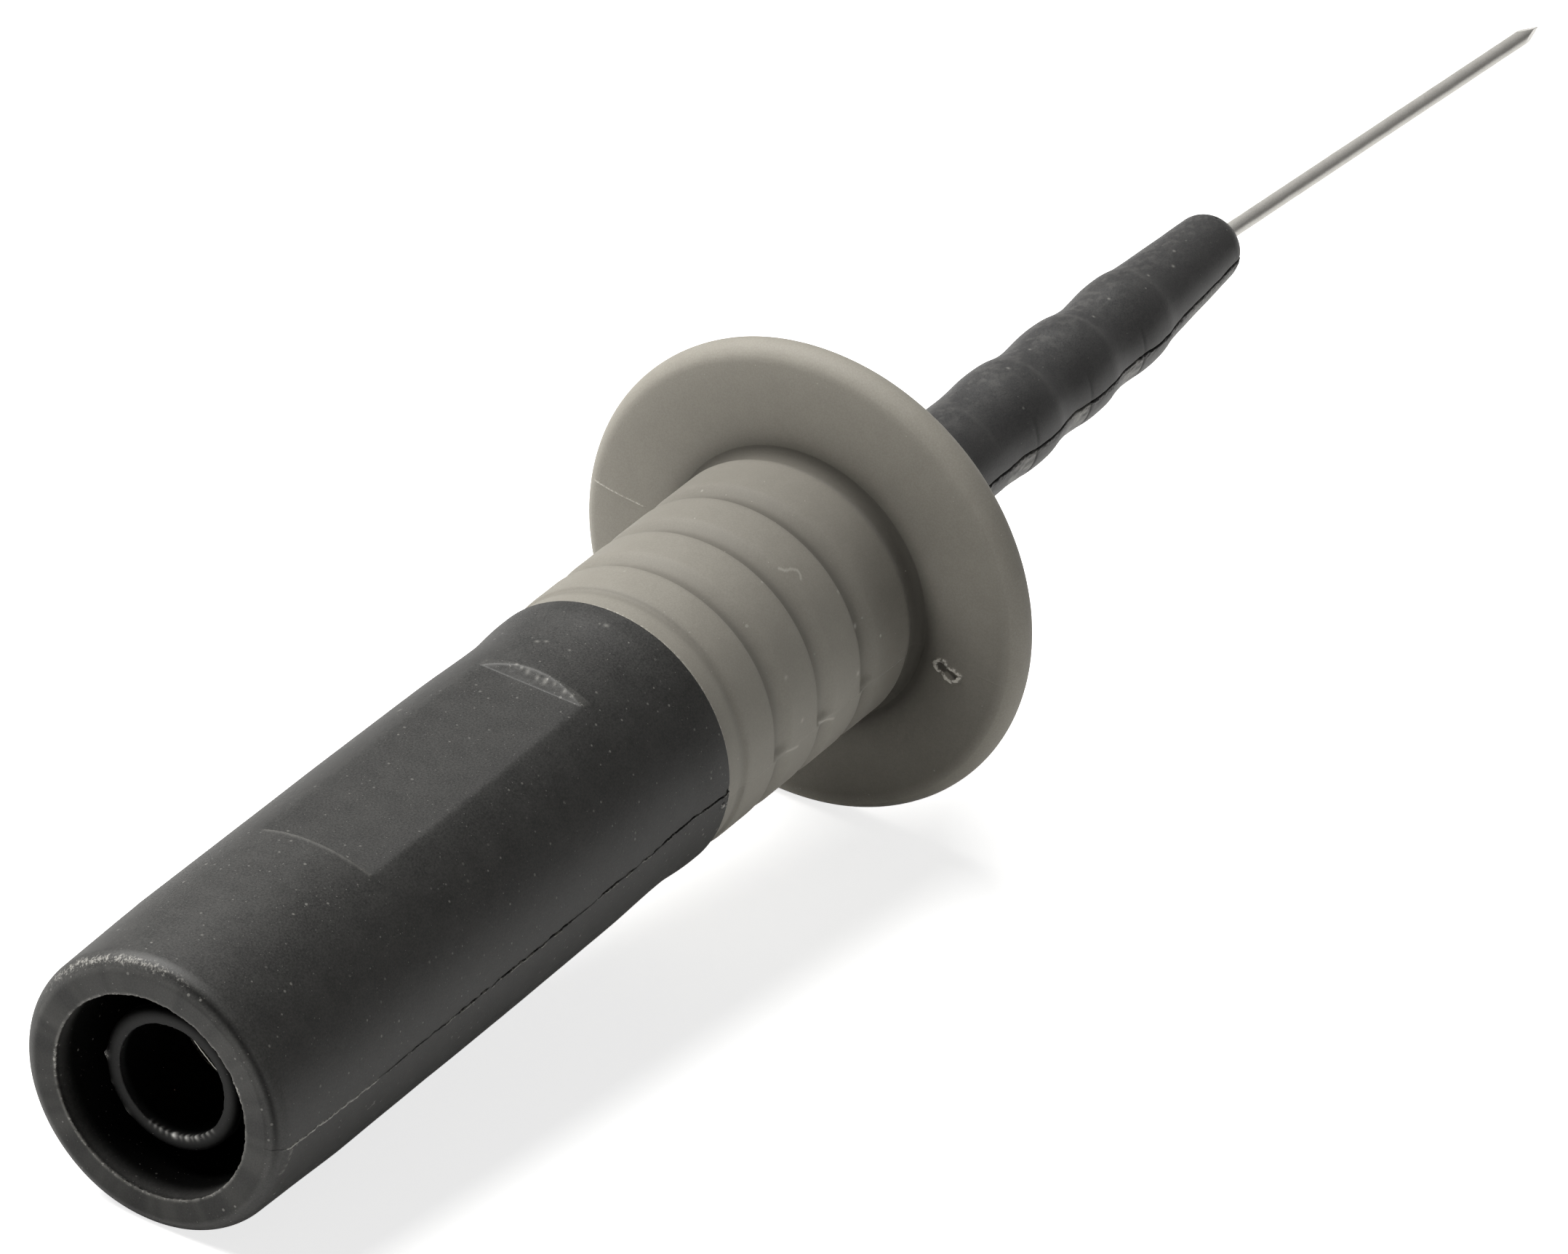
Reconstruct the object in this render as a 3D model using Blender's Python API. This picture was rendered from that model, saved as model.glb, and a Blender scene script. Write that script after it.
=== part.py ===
"""Needle test probe with a shrouded 4 mm safety socket in its rear end.

The probe lies along +X with the needle forward. The origin is the centre of the
socket's rear rim, the flat panel in the handle faces +Z, and the moulds part in
the plane z = 0. Every round piece is an outline of (x, radius) points that is
spun about the X axis. The soft nose and all that it holds then follow one bent
centre line, because the nose of a used probe is never quite straight.
"""

import math

import bmesh
import bpy
from mathutils import Matrix, Vector

MM = 0.001

# Fits
seat_gap = 0.3 * MM          # between pieces that seat on each other
press_gap = 0.1 * MM         # radial, metal pressed or crimped
seam_gap = 0.05 * MM         # where two mouldings meet in plain view

# Handle
handle_length = 33.8 * MM    # rear rim to the front of the collar
rim_round = 0.85 * MM
rim_draft = 0.13 * MM        # radius lost towards the rim
rim_draft_end = 6.3 * MM
waist_start = 26.2 * MM
waist_place = 31.0 * MM      # narrowest place
waist_depth = 0.1 * MM
grip_draft = 0.04 * MM       # radius lost between the middle of the grip and the waist
collar_length = 0.5 * MM
collar_loss = 0.015 * MM     # the collar's radius is this much under the grip's
collar_edge_round = 0.12 * MM
panel_start = 11.5 * MM      # rear edge of the panel's floor
panel_length = 15.95 * MM
panel_depth = 0.57 * MM
panel_rear_draft = 0.15 * MM
panel_front_draft = 0.55 * MM

# Spigot on the handle that carries the guard, and the bay inside it
spigot_wall = 0.8 * MM
spigot_length = 14.3 * MM
spigot_chamfer = 0.3 * MM
bulkhead_thickness = 2.0 * MM
snap_rib_height = 0.35 * MM
snap_rib_width = 0.5 * MM
snap_rib_ramp = 0.8 * MM

# Safety socket: its radii are built up from the bore that the plug's pin enters
plug_space = 1.4 * MM        # radial, for the sheath of the plug
shroud_wall = 1.825 * MM
shroud_depth = 23.0 * MM
tube_wall = 0.69 * MM
tube_setback = 1.55 * MM     # from the rim to the end of the insulating tube
tube_edge_round = 0.2 * MM
barrel_length = 6.0 * MM     # thick front end of the insulating tube
barrel_step = 0.55 * MM      # radial
contact_bore = 4.0 * MM
contact_wall = 0.46 * MM
contact_setback = 4.5 * MM   # from the tube's end to the metal
contact_bore_depth = 18.0 * MM
contact_chamfer = 0.15 * MM
drill_point_deg = 118.0
contact_collar_diameter = 5.8 * MM
contact_collar_length = 3.0 * MM
contact_collar_inset = 1.2 * MM
shank_diameter = 3.2 * MM
solder_cup_diameter = 2.4 * MM
solder_cup_length = 4.5 * MM
solder_cup_bore = 1.5 * MM
solder_cup_depth = 3.6 * MM
solder_cup_opening = 2.6 * MM
spacer_wall = 0.9 * MM

# Soft guard
sleeve_recess = 0.075 * MM   # the sleeve's radius is this much under the grip's
sleeve_length = 15.75 * MM   # rear face to the rear of the disc
sleeve_edge_round = 0.06 * MM
edge_band_depth = 0.08 * MM  # shallow band behind the first ring
edge_band_length = 1.3 * MM
edge_band_rise = 0.25 * MM
ring_start = 3.65 * MM       # first ring, from the sleeve's rear face
ring_pitch = 3.5 * MM
ring_count = 3
ring_width = 1.4 * MM
ring_depth = 0.28 * MM
ring_shape = [               # shares of ring width and depth: crisp at the rear, soft at the front
    (0.0, 0.0),
    (0.1, 0.85),
    (0.2, 1.0),
    (0.55, 1.0),
    (0.85, 0.25),
    (1.0, 0.0),
]
neck_length = 1.6 * MM
neck_fillet = 0.4 * MM
disc_diameter = 22.46 * MM
disc_thickness = 1.8 * MM
disc_dish = 0.15 * MM
disc_rim_width = 1.5 * MM
hub_diameter = 9.2 * MM
hub_length = 3.4 * MM
hub_taper = 0.35 * MM
hub_edge_round = 0.5 * MM

# Soft nose
nose_tail_length = 5.6 * MM
nose_flange_thickness = 1.6 * MM
nose_root_diameter = 6.6 * MM
nose_root_length = 6.0 * MM
nose_root_cone = 5.5 * MM
nose_neck_length = 2.85 * MM  # plain stretch behind the first wave
nose_diameter = 4.84 * MM    # in the first valley
nose_taper = 0.0259          # radius lost for each unit of length
wave_pitch = 4.95 * MM
wave_count = 3
wave_height = 0.22 * MM
wave_crest = 0.58            # place of the crest in each wave
tip_cone_length = 6.2 * MM
tip_taper = 0.0715
tip_dome_length = 1.35 * MM
mouth_length = 5.0 * MM      # narrow hole that grips the needle

# Needle and the lead inside the nose
needle_diameter = 0.76 * MM
needle_reach = 28.75 * MM    # in front of the nose
needle_point_deg = 12.0
ferrule_length = 7.0 * MM
ferrule_wall = 0.35 * MM
crimp_depth = 0.12 * MM
crimp_width = 1.1 * MM
crimp_places = (0.25, 0.75)   # shares of the ferrule's length
strand_diameter = 1.0 * MM
strand_grip = 3.2 * MM       # length of strand inside the ferrule
jacket_wall = 0.35 * MM

# Bent centre line: the nose leans one way and the needle the other
lean_direction_deg = 37.0    # from +Y towards +Z
nose_lean_deg = 1.5
nose_bend_back = 4.0 * MM    # from the last valley back to the bend
nose_bend_half = 3.0 * MM
needle_lean_deg = 3.13
needle_bend_half = 0.8 * MM

# How finely the round pieces are divided
body_steps = 50
nose_steps = 30
tube_steps = 32
small_steps = 16
smooth_angle_deg = 32.0      # flatter edges than this are shaded smooth

# Radii and places that follow from the sizes above
contact_radius = contact_bore / 2 + contact_wall
tube_bore_radius = contact_radius + press_gap
tube_radius = tube_bore_radius + tube_wall
barrel_radius = tube_radius + barrel_step
bay_radius = barrel_radius + seat_gap
spigot_radius = bay_radius + spigot_wall
shroud_radius = tube_radius + plug_space
grip_radius = shroud_radius + shroud_wall
sleeve_radius = grip_radius - sleeve_recess
guard_bore_radius = spigot_radius + seat_gap
disc_radius = disc_diameter / 2
nose_root_radius = nose_root_diameter / 2
needle_radius = needle_diameter / 2
strand_radius = strand_diameter / 2
jacket_bore_radius = strand_radius + press_gap
jacket_radius = jacket_bore_radius + jacket_wall
ferrule_strand_bore = strand_radius + press_gap
ferrule_needle_bore = needle_radius + press_gap
ferrule_radius = ferrule_strand_bore + ferrule_wall
nose_bore_radius = max(ferrule_radius, jacket_radius) + seat_gap

bay_start = shroud_depth + bulkhead_thickness
spigot_front = handle_length + spigot_length
barrel_rear = bay_start + seat_gap
barrel_front = barrel_rear + barrel_length
contact_rear = tube_setback + contact_setback
collar_rear = barrel_front - contact_collar_inset - contact_collar_length
collar_front = collar_rear + contact_collar_length
cup_front = collar_front + contact_collar_inset + solder_cup_length
sleeve_rear = handle_length + seam_gap
disc_rear = sleeve_rear + sleeve_length
disc_front = disc_rear + disc_thickness
hub_front = disc_front + hub_length
flange_rear = spigot_front + seat_gap
flange_front = flange_rear + nose_flange_thickness
guard_shoulder = flange_front + seat_gap
nose_tail_rear = flange_rear - nose_tail_length
nose_root_front = flange_front + nose_root_length
first_valley = nose_root_front + nose_root_cone + nose_neck_length
last_valley = first_valley + wave_count * wave_pitch
tip_dome_rear = last_valley + tip_cone_length
mouth = tip_dome_rear + tip_dome_length
pocket_front = mouth - mouth_length
ferrule_front = pocket_front - seat_gap
ferrule_rear = ferrule_front - ferrule_length
strand_front = ferrule_rear + strand_grip
needle_rear = strand_front + press_gap
needle_tip = mouth + needle_reach
nose_bend_place = last_valley - nose_bend_back
snap_ribs = [sleeve_rear + ring_start + ring_pitch * (i + 0.5) + ring_width / 2
             for i in range(ring_count - 1)]


def arc(centre_x, centre_r, size_x, size_r, start_deg, end_deg, steps):
    """Points of an elliptical arc, both ends included; 0 degrees points along +X."""
    points = []
    for i in range(steps + 1):
        angle = math.radians(start_deg + (end_deg - start_deg) * i / steps)
        points.append((centre_x + size_x * math.cos(angle), centre_r + size_r * math.sin(angle)))
    return points


def soft_step(start_x, start_r, end_x, end_r, steps):
    """Points of an S-curve from one radius to another, level at both ends."""
    points = []
    for i in range(steps + 1):
        share = i / steps
        ease = (1 - math.cos(math.pi * share)) / 2
        points.append((start_x + (end_x - start_x) * share, start_r + (end_r - start_r) * ease))
    return points


def soft_ramp(distance, half):
    """A ramp of slope 1 that starts over a round corner, half long on each side."""
    if distance <= -half:
        return 0.0
    if distance >= half:
        return distance
    return (distance + half) ** 2 / (4 * half)


def centre_line(x):
    """Sideways shift of the bent centre line at x, as a vector in the YZ plane."""
    nose_slope = math.tan(math.radians(nose_lean_deg))
    needle_slope = math.tan(math.radians(needle_lean_deg))
    shift = nose_slope * soft_ramp(x - nose_bend_place, nose_bend_half)
    shift -= (nose_slope + needle_slope) * soft_ramp(x - mouth, needle_bend_half)
    direction = math.radians(lean_direction_deg)
    return Vector((0, math.cos(direction), math.sin(direction))) * shift


def material(name, colour, roughness, metallic=0.0):
    """A Principled material of one colour."""
    finish = bpy.data.materials.new(name)
    finish.use_nodes = True
    shader = finish.node_tree.nodes["Principled BSDF"]
    shader.inputs["Base Color"].default_value = (*colour, 1)
    shader.inputs["Roughness"].default_value = roughness
    shader.inputs["Metallic"].default_value = metallic
    return finish


def add_object(name, bm, finish):
    """Turns a bmesh into a smooth-shaded object of the scene."""
    bmesh.ops.recalc_face_normals(bm, faces=bm.faces)
    mesh = bpy.data.meshes.new(name)
    bm.to_mesh(mesh)
    bm.free()
    mesh.shade_smooth()
    mesh.set_sharp_from_angle(angle=math.radians(smooth_angle_deg))
    mesh.materials.append(finish)
    piece = bpy.data.objects.new(name, mesh)
    bpy.context.scene.collection.objects.link(piece)
    return piece


def spun(outline, steps, bent=False):
    """Spins an outline of (x, radius) points about X into a closed bmesh.

    An outline that starts on the axis also ends there; any other is a closed loop.
    """
    bm = bmesh.new()
    corners = [bm.verts.new((x, radius, 0)) for x, radius in outline]
    edges = [bm.edges.new(pair) for pair in zip(corners, corners[1:])]
    if outline[0][1] > 0:
        edges.append(bm.edges.new((corners[-1], corners[0])))
    bmesh.ops.spin(bm, geom=corners + edges, cent=(0, 0, 0), axis=(1, 0, 0),
                   angle=2 * math.pi, steps=steps, use_merge=True)
    bmesh.ops.remove_doubles(bm, verts=bm.verts, dist=0.001 * MM)
    if bent:
        for vert in bm.verts:
            vert.co += centre_line(vert.co.x)
    return bm


def box_cutter(name, low, high):
    """A hidden box between two corners, for a Boolean cut."""
    bm = bmesh.new()
    low, high = Vector(low), Vector(high)
    size = high - low
    place = Matrix.Translation((low + high) / 2) @ Matrix.Diagonal((*size, 1))
    bmesh.ops.create_cube(bm, size=1, matrix=place)
    mesh = bpy.data.meshes.new(name)
    bm.to_mesh(mesh)
    bm.free()
    cutter = bpy.data.objects.new(name, mesh)
    cutter.hide_render = True
    cutter.display_type = "WIRE"
    bpy.context.scene.collection.objects.link(cutter)
    return cutter


def cut(piece, cutter):
    """Takes the cutter's volume away from the piece."""
    boolean = piece.modifiers.new(cutter.name, "BOOLEAN")
    boolean.operation = "DIFFERENCE"
    boolean.solver = "EXACT"
    boolean.object = cutter


def snap_rib_outline(place, base, clearance=0.0):
    """A barb that is steep at the rear and ramped at the front, or the groove around it."""
    top = base + snap_rib_height
    return [
        (place - clearance, base),
        (place - clearance, top),
        (place + snap_rib_width + clearance, top),
        (place + snap_rib_width + snap_rib_ramp + clearance, base),
    ]


def make_handle_shell(finish):
    """Handle: plug shroud, grip with its waist and collar, bulkhead and spigot."""
    outline = [(0, shroud_radius)]
    outline += arc(rim_round, grip_radius - rim_draft - rim_round, rim_round, rim_round, 180, 90, 6)
    outline.append((rim_draft_end, grip_radius))
    outline.append((panel_start + panel_length / 2, grip_radius))
    waist_rear_radius = grip_radius - grip_draft
    waist_radius = waist_rear_radius - waist_depth
    collar_radius = grip_radius - collar_loss
    outline += soft_step(waist_start, waist_rear_radius, waist_place, waist_radius, 5)
    outline += soft_step(waist_place, waist_radius, handle_length - collar_length, collar_radius, 4)[1:]
    outline += arc(handle_length - collar_edge_round, collar_radius - collar_edge_round,
                   collar_edge_round, collar_edge_round, 90, 0, 2)
    outline.append((handle_length, spigot_radius))
    for place in snap_ribs:
        outline += snap_rib_outline(place, spigot_radius)
    outline += [
        (spigot_front - spigot_chamfer, spigot_radius),
        (spigot_front, spigot_radius - spigot_chamfer),
        (spigot_front, bay_radius),
        (bay_start, bay_radius),
        (bay_start, tube_radius + seat_gap),
        (shroud_depth, tube_radius + seat_gap),
        (shroud_depth, shroud_radius),
    ]
    handle = add_object("handle_shell", spun(outline, body_steps), finish)
    panel_floor = grip_radius - panel_depth
    cutter = box_cutter(
        "panel_cutter",
        (panel_start, -grip_radius, panel_floor),
        (panel_start + panel_length, grip_radius, panel_floor + 2 * panel_depth),
    )
    for vert in cutter.data.vertices:
        if vert.co.z > grip_radius:
            vert.co.x += -2 * panel_rear_draft if vert.co.x < handle_length / 2 else 2 * panel_front_draft
    cut(handle, cutter)
    return handle


def make_socket_insulator(finish):
    """Insulating tube around the contact, with the barrel that seats in the bay."""
    counterbore = contact_collar_diameter / 2 + press_gap
    outline = [(tube_setback, tube_bore_radius)]
    outline += arc(tube_setback + tube_edge_round, tube_radius - tube_edge_round,
                   tube_edge_round, tube_edge_round, 180, 90, 3)
    outline += [
        (barrel_rear, tube_radius),
        (barrel_rear, barrel_radius),
        (barrel_front, barrel_radius),
        (barrel_front, counterbore),
        (collar_rear - press_gap, counterbore),
        (collar_rear - press_gap, tube_bore_radius),
    ]
    return add_object("socket_insulator", spun(outline, tube_steps), finish)


def make_socket_contact(finish):
    """Turned contact: blind 4 mm bore, collar, shank and solder cup."""
    bore_radius = contact_bore / 2
    bore_bottom = contact_rear + contact_bore_depth
    drill_cone = bore_radius / math.tan(math.radians(drill_point_deg / 2))
    cup_rear = cup_front - solder_cup_length
    cup_bottom = cup_front - solder_cup_depth
    outline = [
        (bore_bottom + drill_cone, 0),
        (bore_bottom, bore_radius),
        (contact_rear + contact_chamfer, bore_radius),
        (contact_rear, bore_radius + contact_chamfer),
        (contact_rear, contact_radius),
        (collar_rear, contact_radius),
        (collar_rear, contact_collar_diameter / 2),
        (collar_front, contact_collar_diameter / 2),
        (collar_front, shank_diameter / 2),
        (cup_rear, shank_diameter / 2),
        (cup_rear, solder_cup_diameter / 2),
        (cup_front, solder_cup_diameter / 2),
        (cup_front, solder_cup_bore / 2),
        (cup_bottom, solder_cup_bore / 2),
        (cup_bottom, 0),
    ]
    contact = add_object("socket_contact", spun(outline, tube_steps), finish)
    cutter = box_cutter(
        "solder_cup_cutter",
        (cup_front - solder_cup_opening, -solder_cup_diameter, 0),
        (cup_front + solder_cup_diameter, solder_cup_diameter, solder_cup_diameter),
    )
    cut(contact, cutter)
    return contact


def make_spacer_tube(finish):
    """Stiff tube that keeps a pushed plug from driving the socket forward."""
    rear = barrel_front + seat_gap
    front = nose_tail_rear - seat_gap
    outline = [
        (rear, barrel_radius - spacer_wall),
        (rear, barrel_radius),
        (front, barrel_radius),
        (front, barrel_radius - spacer_wall),
    ]
    return add_object("spacer_tube", spun(outline, tube_steps), finish)


def ring_groove(start):
    """Outline points of one moulded ring in the sleeve."""
    return [(start + along * ring_width, sleeve_radius - down * ring_depth) for along, down in ring_shape]


def make_guard_sleeve(finish):
    """Soft guard: ringed sleeve, neck, finger disc with a rolled edge, and front hub."""
    band_radius = sleeve_radius - edge_band_depth
    band_front = sleeve_rear + edge_band_length
    outline = [
        (sleeve_rear, guard_bore_radius),
        (sleeve_rear, band_radius - sleeve_edge_round),
        (sleeve_rear + sleeve_edge_round, band_radius),
        (band_front, band_radius),
        (band_front + edge_band_rise, sleeve_radius),
    ]
    for i in range(ring_count):
        outline += ring_groove(sleeve_rear + ring_start + i * ring_pitch)

    neck_radius = sleeve_radius - ring_depth
    outline += ring_groove(disc_rear - neck_length)[:3]
    face = disc_rear + disc_dish
    outline += arc(face - neck_fillet, neck_radius + neck_fillet, neck_fillet, neck_fillet, -90, 0, 3)
    edge_round = disc_thickness / 2
    outline.append((face, disc_radius - disc_rim_width - edge_round))
    outline += arc(disc_rear + edge_round, disc_radius - edge_round, edge_round, edge_round, 180, 0, 8)

    hub_radius = hub_diameter / 2
    outline.append((disc_front, hub_radius))
    outline += arc(hub_front - hub_edge_round, hub_radius - hub_taper - hub_edge_round,
                   hub_edge_round, hub_edge_round, 90, 0, 3)
    nose_bore = nose_root_radius + seat_gap
    outline += [
        (hub_front, nose_bore),
        (guard_shoulder, nose_bore),
        (guard_shoulder, guard_bore_radius),
    ]
    for place in reversed(snap_ribs):
        outline += reversed(snap_rib_outline(place, guard_bore_radius, seat_gap))
    return add_object("guard_sleeve", spun(outline, body_steps), finish)


def wave_outline():
    """The nose's waves: each rises slowly to its crest and drops faster into the next valley."""
    points = []
    steps = 7
    for wave in range(wave_count):
        for i in range(steps):
            share = i / steps
            if share < wave_crest:
                turn = share / wave_crest / 2
            else:
                turn = 0.5 + (share - wave_crest) / (1 - wave_crest) / 2
            x = first_valley + (wave + share) * wave_pitch
            base = nose_diameter / 2 - nose_taper * (x - first_valley)
            points.append((x, base + wave_height * math.sin(math.pi * turn)))
    return points


def make_nose_sleeve(finish):
    """Soft nose: tail and flange trapped in the guard, root, waves, cone and round tip."""
    first_radius = nose_diameter / 2
    last_radius = first_radius - nose_taper * (last_valley - first_valley)
    dome_radius = last_radius - tip_taper * tip_cone_length
    hole_radius = needle_radius + seam_gap
    outline = [
        (nose_tail_rear, nose_bore_radius),
        (nose_tail_rear, barrel_radius),
        (flange_rear, barrel_radius),
        (flange_rear, spigot_radius),
        (flange_front, spigot_radius),
        (flange_front, nose_root_radius),
    ]
    neck_radius = first_radius + nose_taper * nose_neck_length
    outline += soft_step(nose_root_front, nose_root_radius,
                         nose_root_front + nose_root_cone, neck_radius, 5)
    outline += wave_outline()
    outline.append((last_valley, last_radius))
    dome = arc(tip_dome_rear, hole_radius, tip_dome_length, dome_radius - hole_radius, 90, 0, 7)
    outline += dome
    outline += [
        (pocket_front, hole_radius),
        (pocket_front, nose_bore_radius),
    ]
    return add_object("nose_sleeve", spun(outline, nose_steps, bent=True), finish)


def make_lead_strand(finish):
    """Stranded copper from the solder cup to the ferrule, drawn as one round bar."""
    rear = cup_front - solder_cup_depth + seat_gap
    length = strand_front - rear
    bend_steps = 8
    outline = [(rear, 0)]
    for i in range(bend_steps + 1):
        outline.append((rear + length * i / bend_steps, strand_radius))
    outline.append((strand_front, 0))
    return add_object("lead_strand", spun(outline, small_steps, bent=True), finish)


def make_lead_jacket(finish):
    """Insulation on the strand between the solder cup and the ferrule."""
    rear = cup_front + seat_gap
    length = ferrule_rear - seat_gap - rear
    bend_steps = 8
    stations = [rear + length * i / bend_steps for i in range(bend_steps + 1)]
    outline = [(x, jacket_radius) for x in stations]
    outline += [(x, jacket_bore_radius) for x in reversed(stations)]
    return add_object("lead_jacket", spun(outline, small_steps, bent=True), finish)


def make_needle_ferrule(finish):
    """Crimp ferrule: strand in its rear end, needle in its front end, one crimp on each."""
    outline = [(ferrule_rear, ferrule_strand_bore), (ferrule_rear, ferrule_radius)]
    for share in crimp_places:
        middle = ferrule_rear + share * ferrule_length
        outline += [
            (middle - crimp_width, ferrule_radius),
            (middle - crimp_width / 2, ferrule_radius - crimp_depth),
            (middle + crimp_width / 2, ferrule_radius - crimp_depth),
            (middle + crimp_width, ferrule_radius),
        ]
    outline += [
        (ferrule_front, ferrule_radius),
        (ferrule_front, ferrule_needle_bore),
        (needle_rear, ferrule_needle_bore),
        (strand_front, ferrule_strand_bore),
    ]
    return add_object("needle_ferrule", spun(outline, small_steps, bent=True), finish)


def make_needle(finish):
    """Steel needle with a point that is ground on three flats."""
    outline = [(needle_rear, 0), (needle_rear, needle_radius)]
    bend_steps = 4
    for i in range(-bend_steps, bend_steps + 1):
        outline.append((mouth + needle_bend_half * i / bend_steps, needle_radius))
    outline += [(needle_tip, needle_radius), (needle_tip, 0)]
    bm = spun(outline, small_steps, bent=True)

    lean = math.radians(needle_lean_deg)
    side = math.radians(lean_direction_deg)
    sideways = Vector((0, math.cos(side), math.sin(side)))
    forward = Vector((math.cos(lean), 0, 0)) - sideways * math.sin(lean)
    upright = forward.cross(sideways)
    sideways = upright.cross(forward).normalized()
    tip = Vector((needle_tip, 0, 0)) + centre_line(needle_tip)
    grind = math.radians(needle_point_deg)
    for i in range(3):
        turn = math.radians(120 * i)
        outward = sideways * math.cos(turn) + upright.normalized() * math.sin(turn)
        flat = outward * math.cos(grind) + forward * math.sin(grind)
        geometry = bm.verts[:] + bm.edges[:] + bm.faces[:]
        result = bmesh.ops.bisect_plane(bm, geom=geometry, plane_co=tip, plane_no=flat, clear_outer=True,
                                        dist=0.00001 * MM)
        rim = [item for item in result["geom_cut"] if isinstance(item, bmesh.types.BMEdge)]
        bmesh.ops.edgenet_fill(bm, edges=rim)
    return add_object("needle", bm, finish)


def main():
    for old in list(bpy.data.objects):
        bpy.data.objects.remove(old, do_unlink=True)
    black_plastic = material("handle_black", (0.028, 0.028, 0.027), 0.62)
    black_tube = material("socket_black", (0.024, 0.024, 0.024), 0.55)
    black_rubber = material("nose_black", (0.032, 0.032, 0.031), 0.7)
    grey_rubber = material("guard_grey", (0.225, 0.215, 0.185), 0.72)
    nickel = material("contact_nickel", (0.72, 0.69, 0.63), 0.3, 1.0)
    natural_plastic = material("spacer_natural", (0.62, 0.60, 0.54), 0.5)
    copper = material("strand_copper", (0.72, 0.42, 0.28), 0.38, 1.0)
    silicone = material("jacket_black", (0.03, 0.03, 0.03), 0.6)
    tinned = material("ferrule_tinned", (0.70, 0.70, 0.68), 0.36, 1.0)
    steel = material("needle_steel", (0.62, 0.60, 0.57), 0.3, 1.0)

    make_handle_shell(black_plastic)
    make_socket_insulator(black_tube)
    make_socket_contact(nickel)
    make_spacer_tube(natural_plastic)
    make_guard_sleeve(grey_rubber)
    make_nose_sleeve(black_rubber)
    make_lead_strand(copper)
    make_lead_jacket(silicone)
    make_needle_ferrule(tinned)
    make_needle(steel)


main()
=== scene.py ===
# %% [markdown]
# # A needle test probe, dressed around its CAD frame
#
# The object is a slim hand-held probe: a black plastic handle with a shrouded 4 mm socket in its
# rear end, a soft grey sleeve with a finger disc, a thin black rubber nose with three waves, and a
# bare steel needle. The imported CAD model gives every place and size. This lesson builds finer
# skins for the pieces that show, gives each a procedural material, and lights them softly.

# %% Load the frame
import math

import bmesh
import bpy
import numpy as np
from mathutils import Matrix, Vector


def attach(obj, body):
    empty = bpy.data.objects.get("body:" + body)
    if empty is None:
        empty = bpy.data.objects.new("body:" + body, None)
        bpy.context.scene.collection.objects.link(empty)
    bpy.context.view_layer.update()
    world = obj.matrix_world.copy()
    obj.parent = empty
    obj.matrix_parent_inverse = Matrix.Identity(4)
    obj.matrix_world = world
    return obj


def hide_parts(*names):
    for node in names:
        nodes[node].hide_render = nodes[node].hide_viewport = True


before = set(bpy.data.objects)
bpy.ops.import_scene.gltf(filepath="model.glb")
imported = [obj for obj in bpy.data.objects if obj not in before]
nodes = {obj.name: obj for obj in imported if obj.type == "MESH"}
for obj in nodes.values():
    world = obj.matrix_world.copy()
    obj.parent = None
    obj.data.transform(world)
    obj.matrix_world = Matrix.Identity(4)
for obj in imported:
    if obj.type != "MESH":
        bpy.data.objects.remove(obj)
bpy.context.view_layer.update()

print("CAD nodes:", ", ".join(sorted(nodes)))

# %% [markdown]
# ## Sizes
#
# The lesson works in millimetres and turns them into metres when a mesh is made. X runs from the
# rear rim to the needle. A turn of 0 degrees points up out of the handle's panel (+Z), and -90
# degrees points to the side that the camera sees (-Y), where the moulds part.

# %% Named sizes
MM = 0.001

grip_radius = 6.475
shroud_radius = 4.65
rim_round = 0.85
rim_draft = 0.13
rim_draft_end = 6.3
waist_start, waist_place = 26.2, 31.0
waist_depth, grip_draft = 0.1, 0.04
seat_gap = 0.3
collar_length, collar_loss, collar_edge = 0.5, 0.015, 0.12
handle_front = 33.8
spigot_radius, spigot_front = 4.9, 48.1
bay_radius, bay_start = 4.1, 25.0
tube_radius, tube_hole, tube_rear = 3.25, 2.56, 1.55
shroud_depth = 23.0

panel_start, panel_end, panel_depth = 11.5, 27.45, 0.57
panel_floor = grip_radius - panel_depth
panel_rear_draft, panel_front_draft = 0.15, 0.55

sleeve_rear, sleeve_radius, guard_bore = 33.85, 6.4, 5.2
band_depth, band_length, band_rise = 0.08, 1.3, 0.25
ring_starts = [37.5, 41.0, 44.5, 48.0]
ring_width, ring_depth = 1.4, 0.28
disc_rear, disc_front, disc_radius = 49.6, 51.4, 11.23
disc_bulge, disc_rim_width, neck_fillet = 0.07, 1.6, 0.4
disc_rim_deg = 10.0
hub_radius, hub_front, hub_taper, hub_edge = 4.6, 54.8, 0.35, 0.5

nose_root_radius, nose_root_front, nose_root_end = 3.3, 56.0, 61.5
nose_tail_rear, nose_flange_front = 48.4, 50.0
nose_bore_radius, nose_bore_front = 1.25, 81.75
first_valley, wave_pitch, wave_count = 64.21, 5.2, 3
nose_valley_radius, nose_taper = 2.446, 0.025
last_valley = first_valley + wave_count * wave_pitch
dome_rear, tip_taper, tip_dome_length = 85.4, 0.065, 1.35
mouth = dome_rear + tip_dome_length

needle_radius, needle_tip, needle_point_deg = 0.38, 115.5, 12.0
lean_direction_deg, nose_lean_deg, needle_lean_deg = 37.0, 1.5, 3.13
nose_bend_place, nose_bend_half, needle_bend_half = 75.2, 3.0, 0.8

print("mouth of the nose at", round(mouth, 2), "mm")

# %% [markdown]
# ## The camera
#
# The photograph looks down at the socket end from the rear right with a long lens, so the far
# needle is hardly smaller than the near rim. The camera comes first, because every later choice is
# judged through it. It could be aimed by eye, but one matrix of its three directions keeps the
# outlines of rim, disc and needle where they belong.

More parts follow.
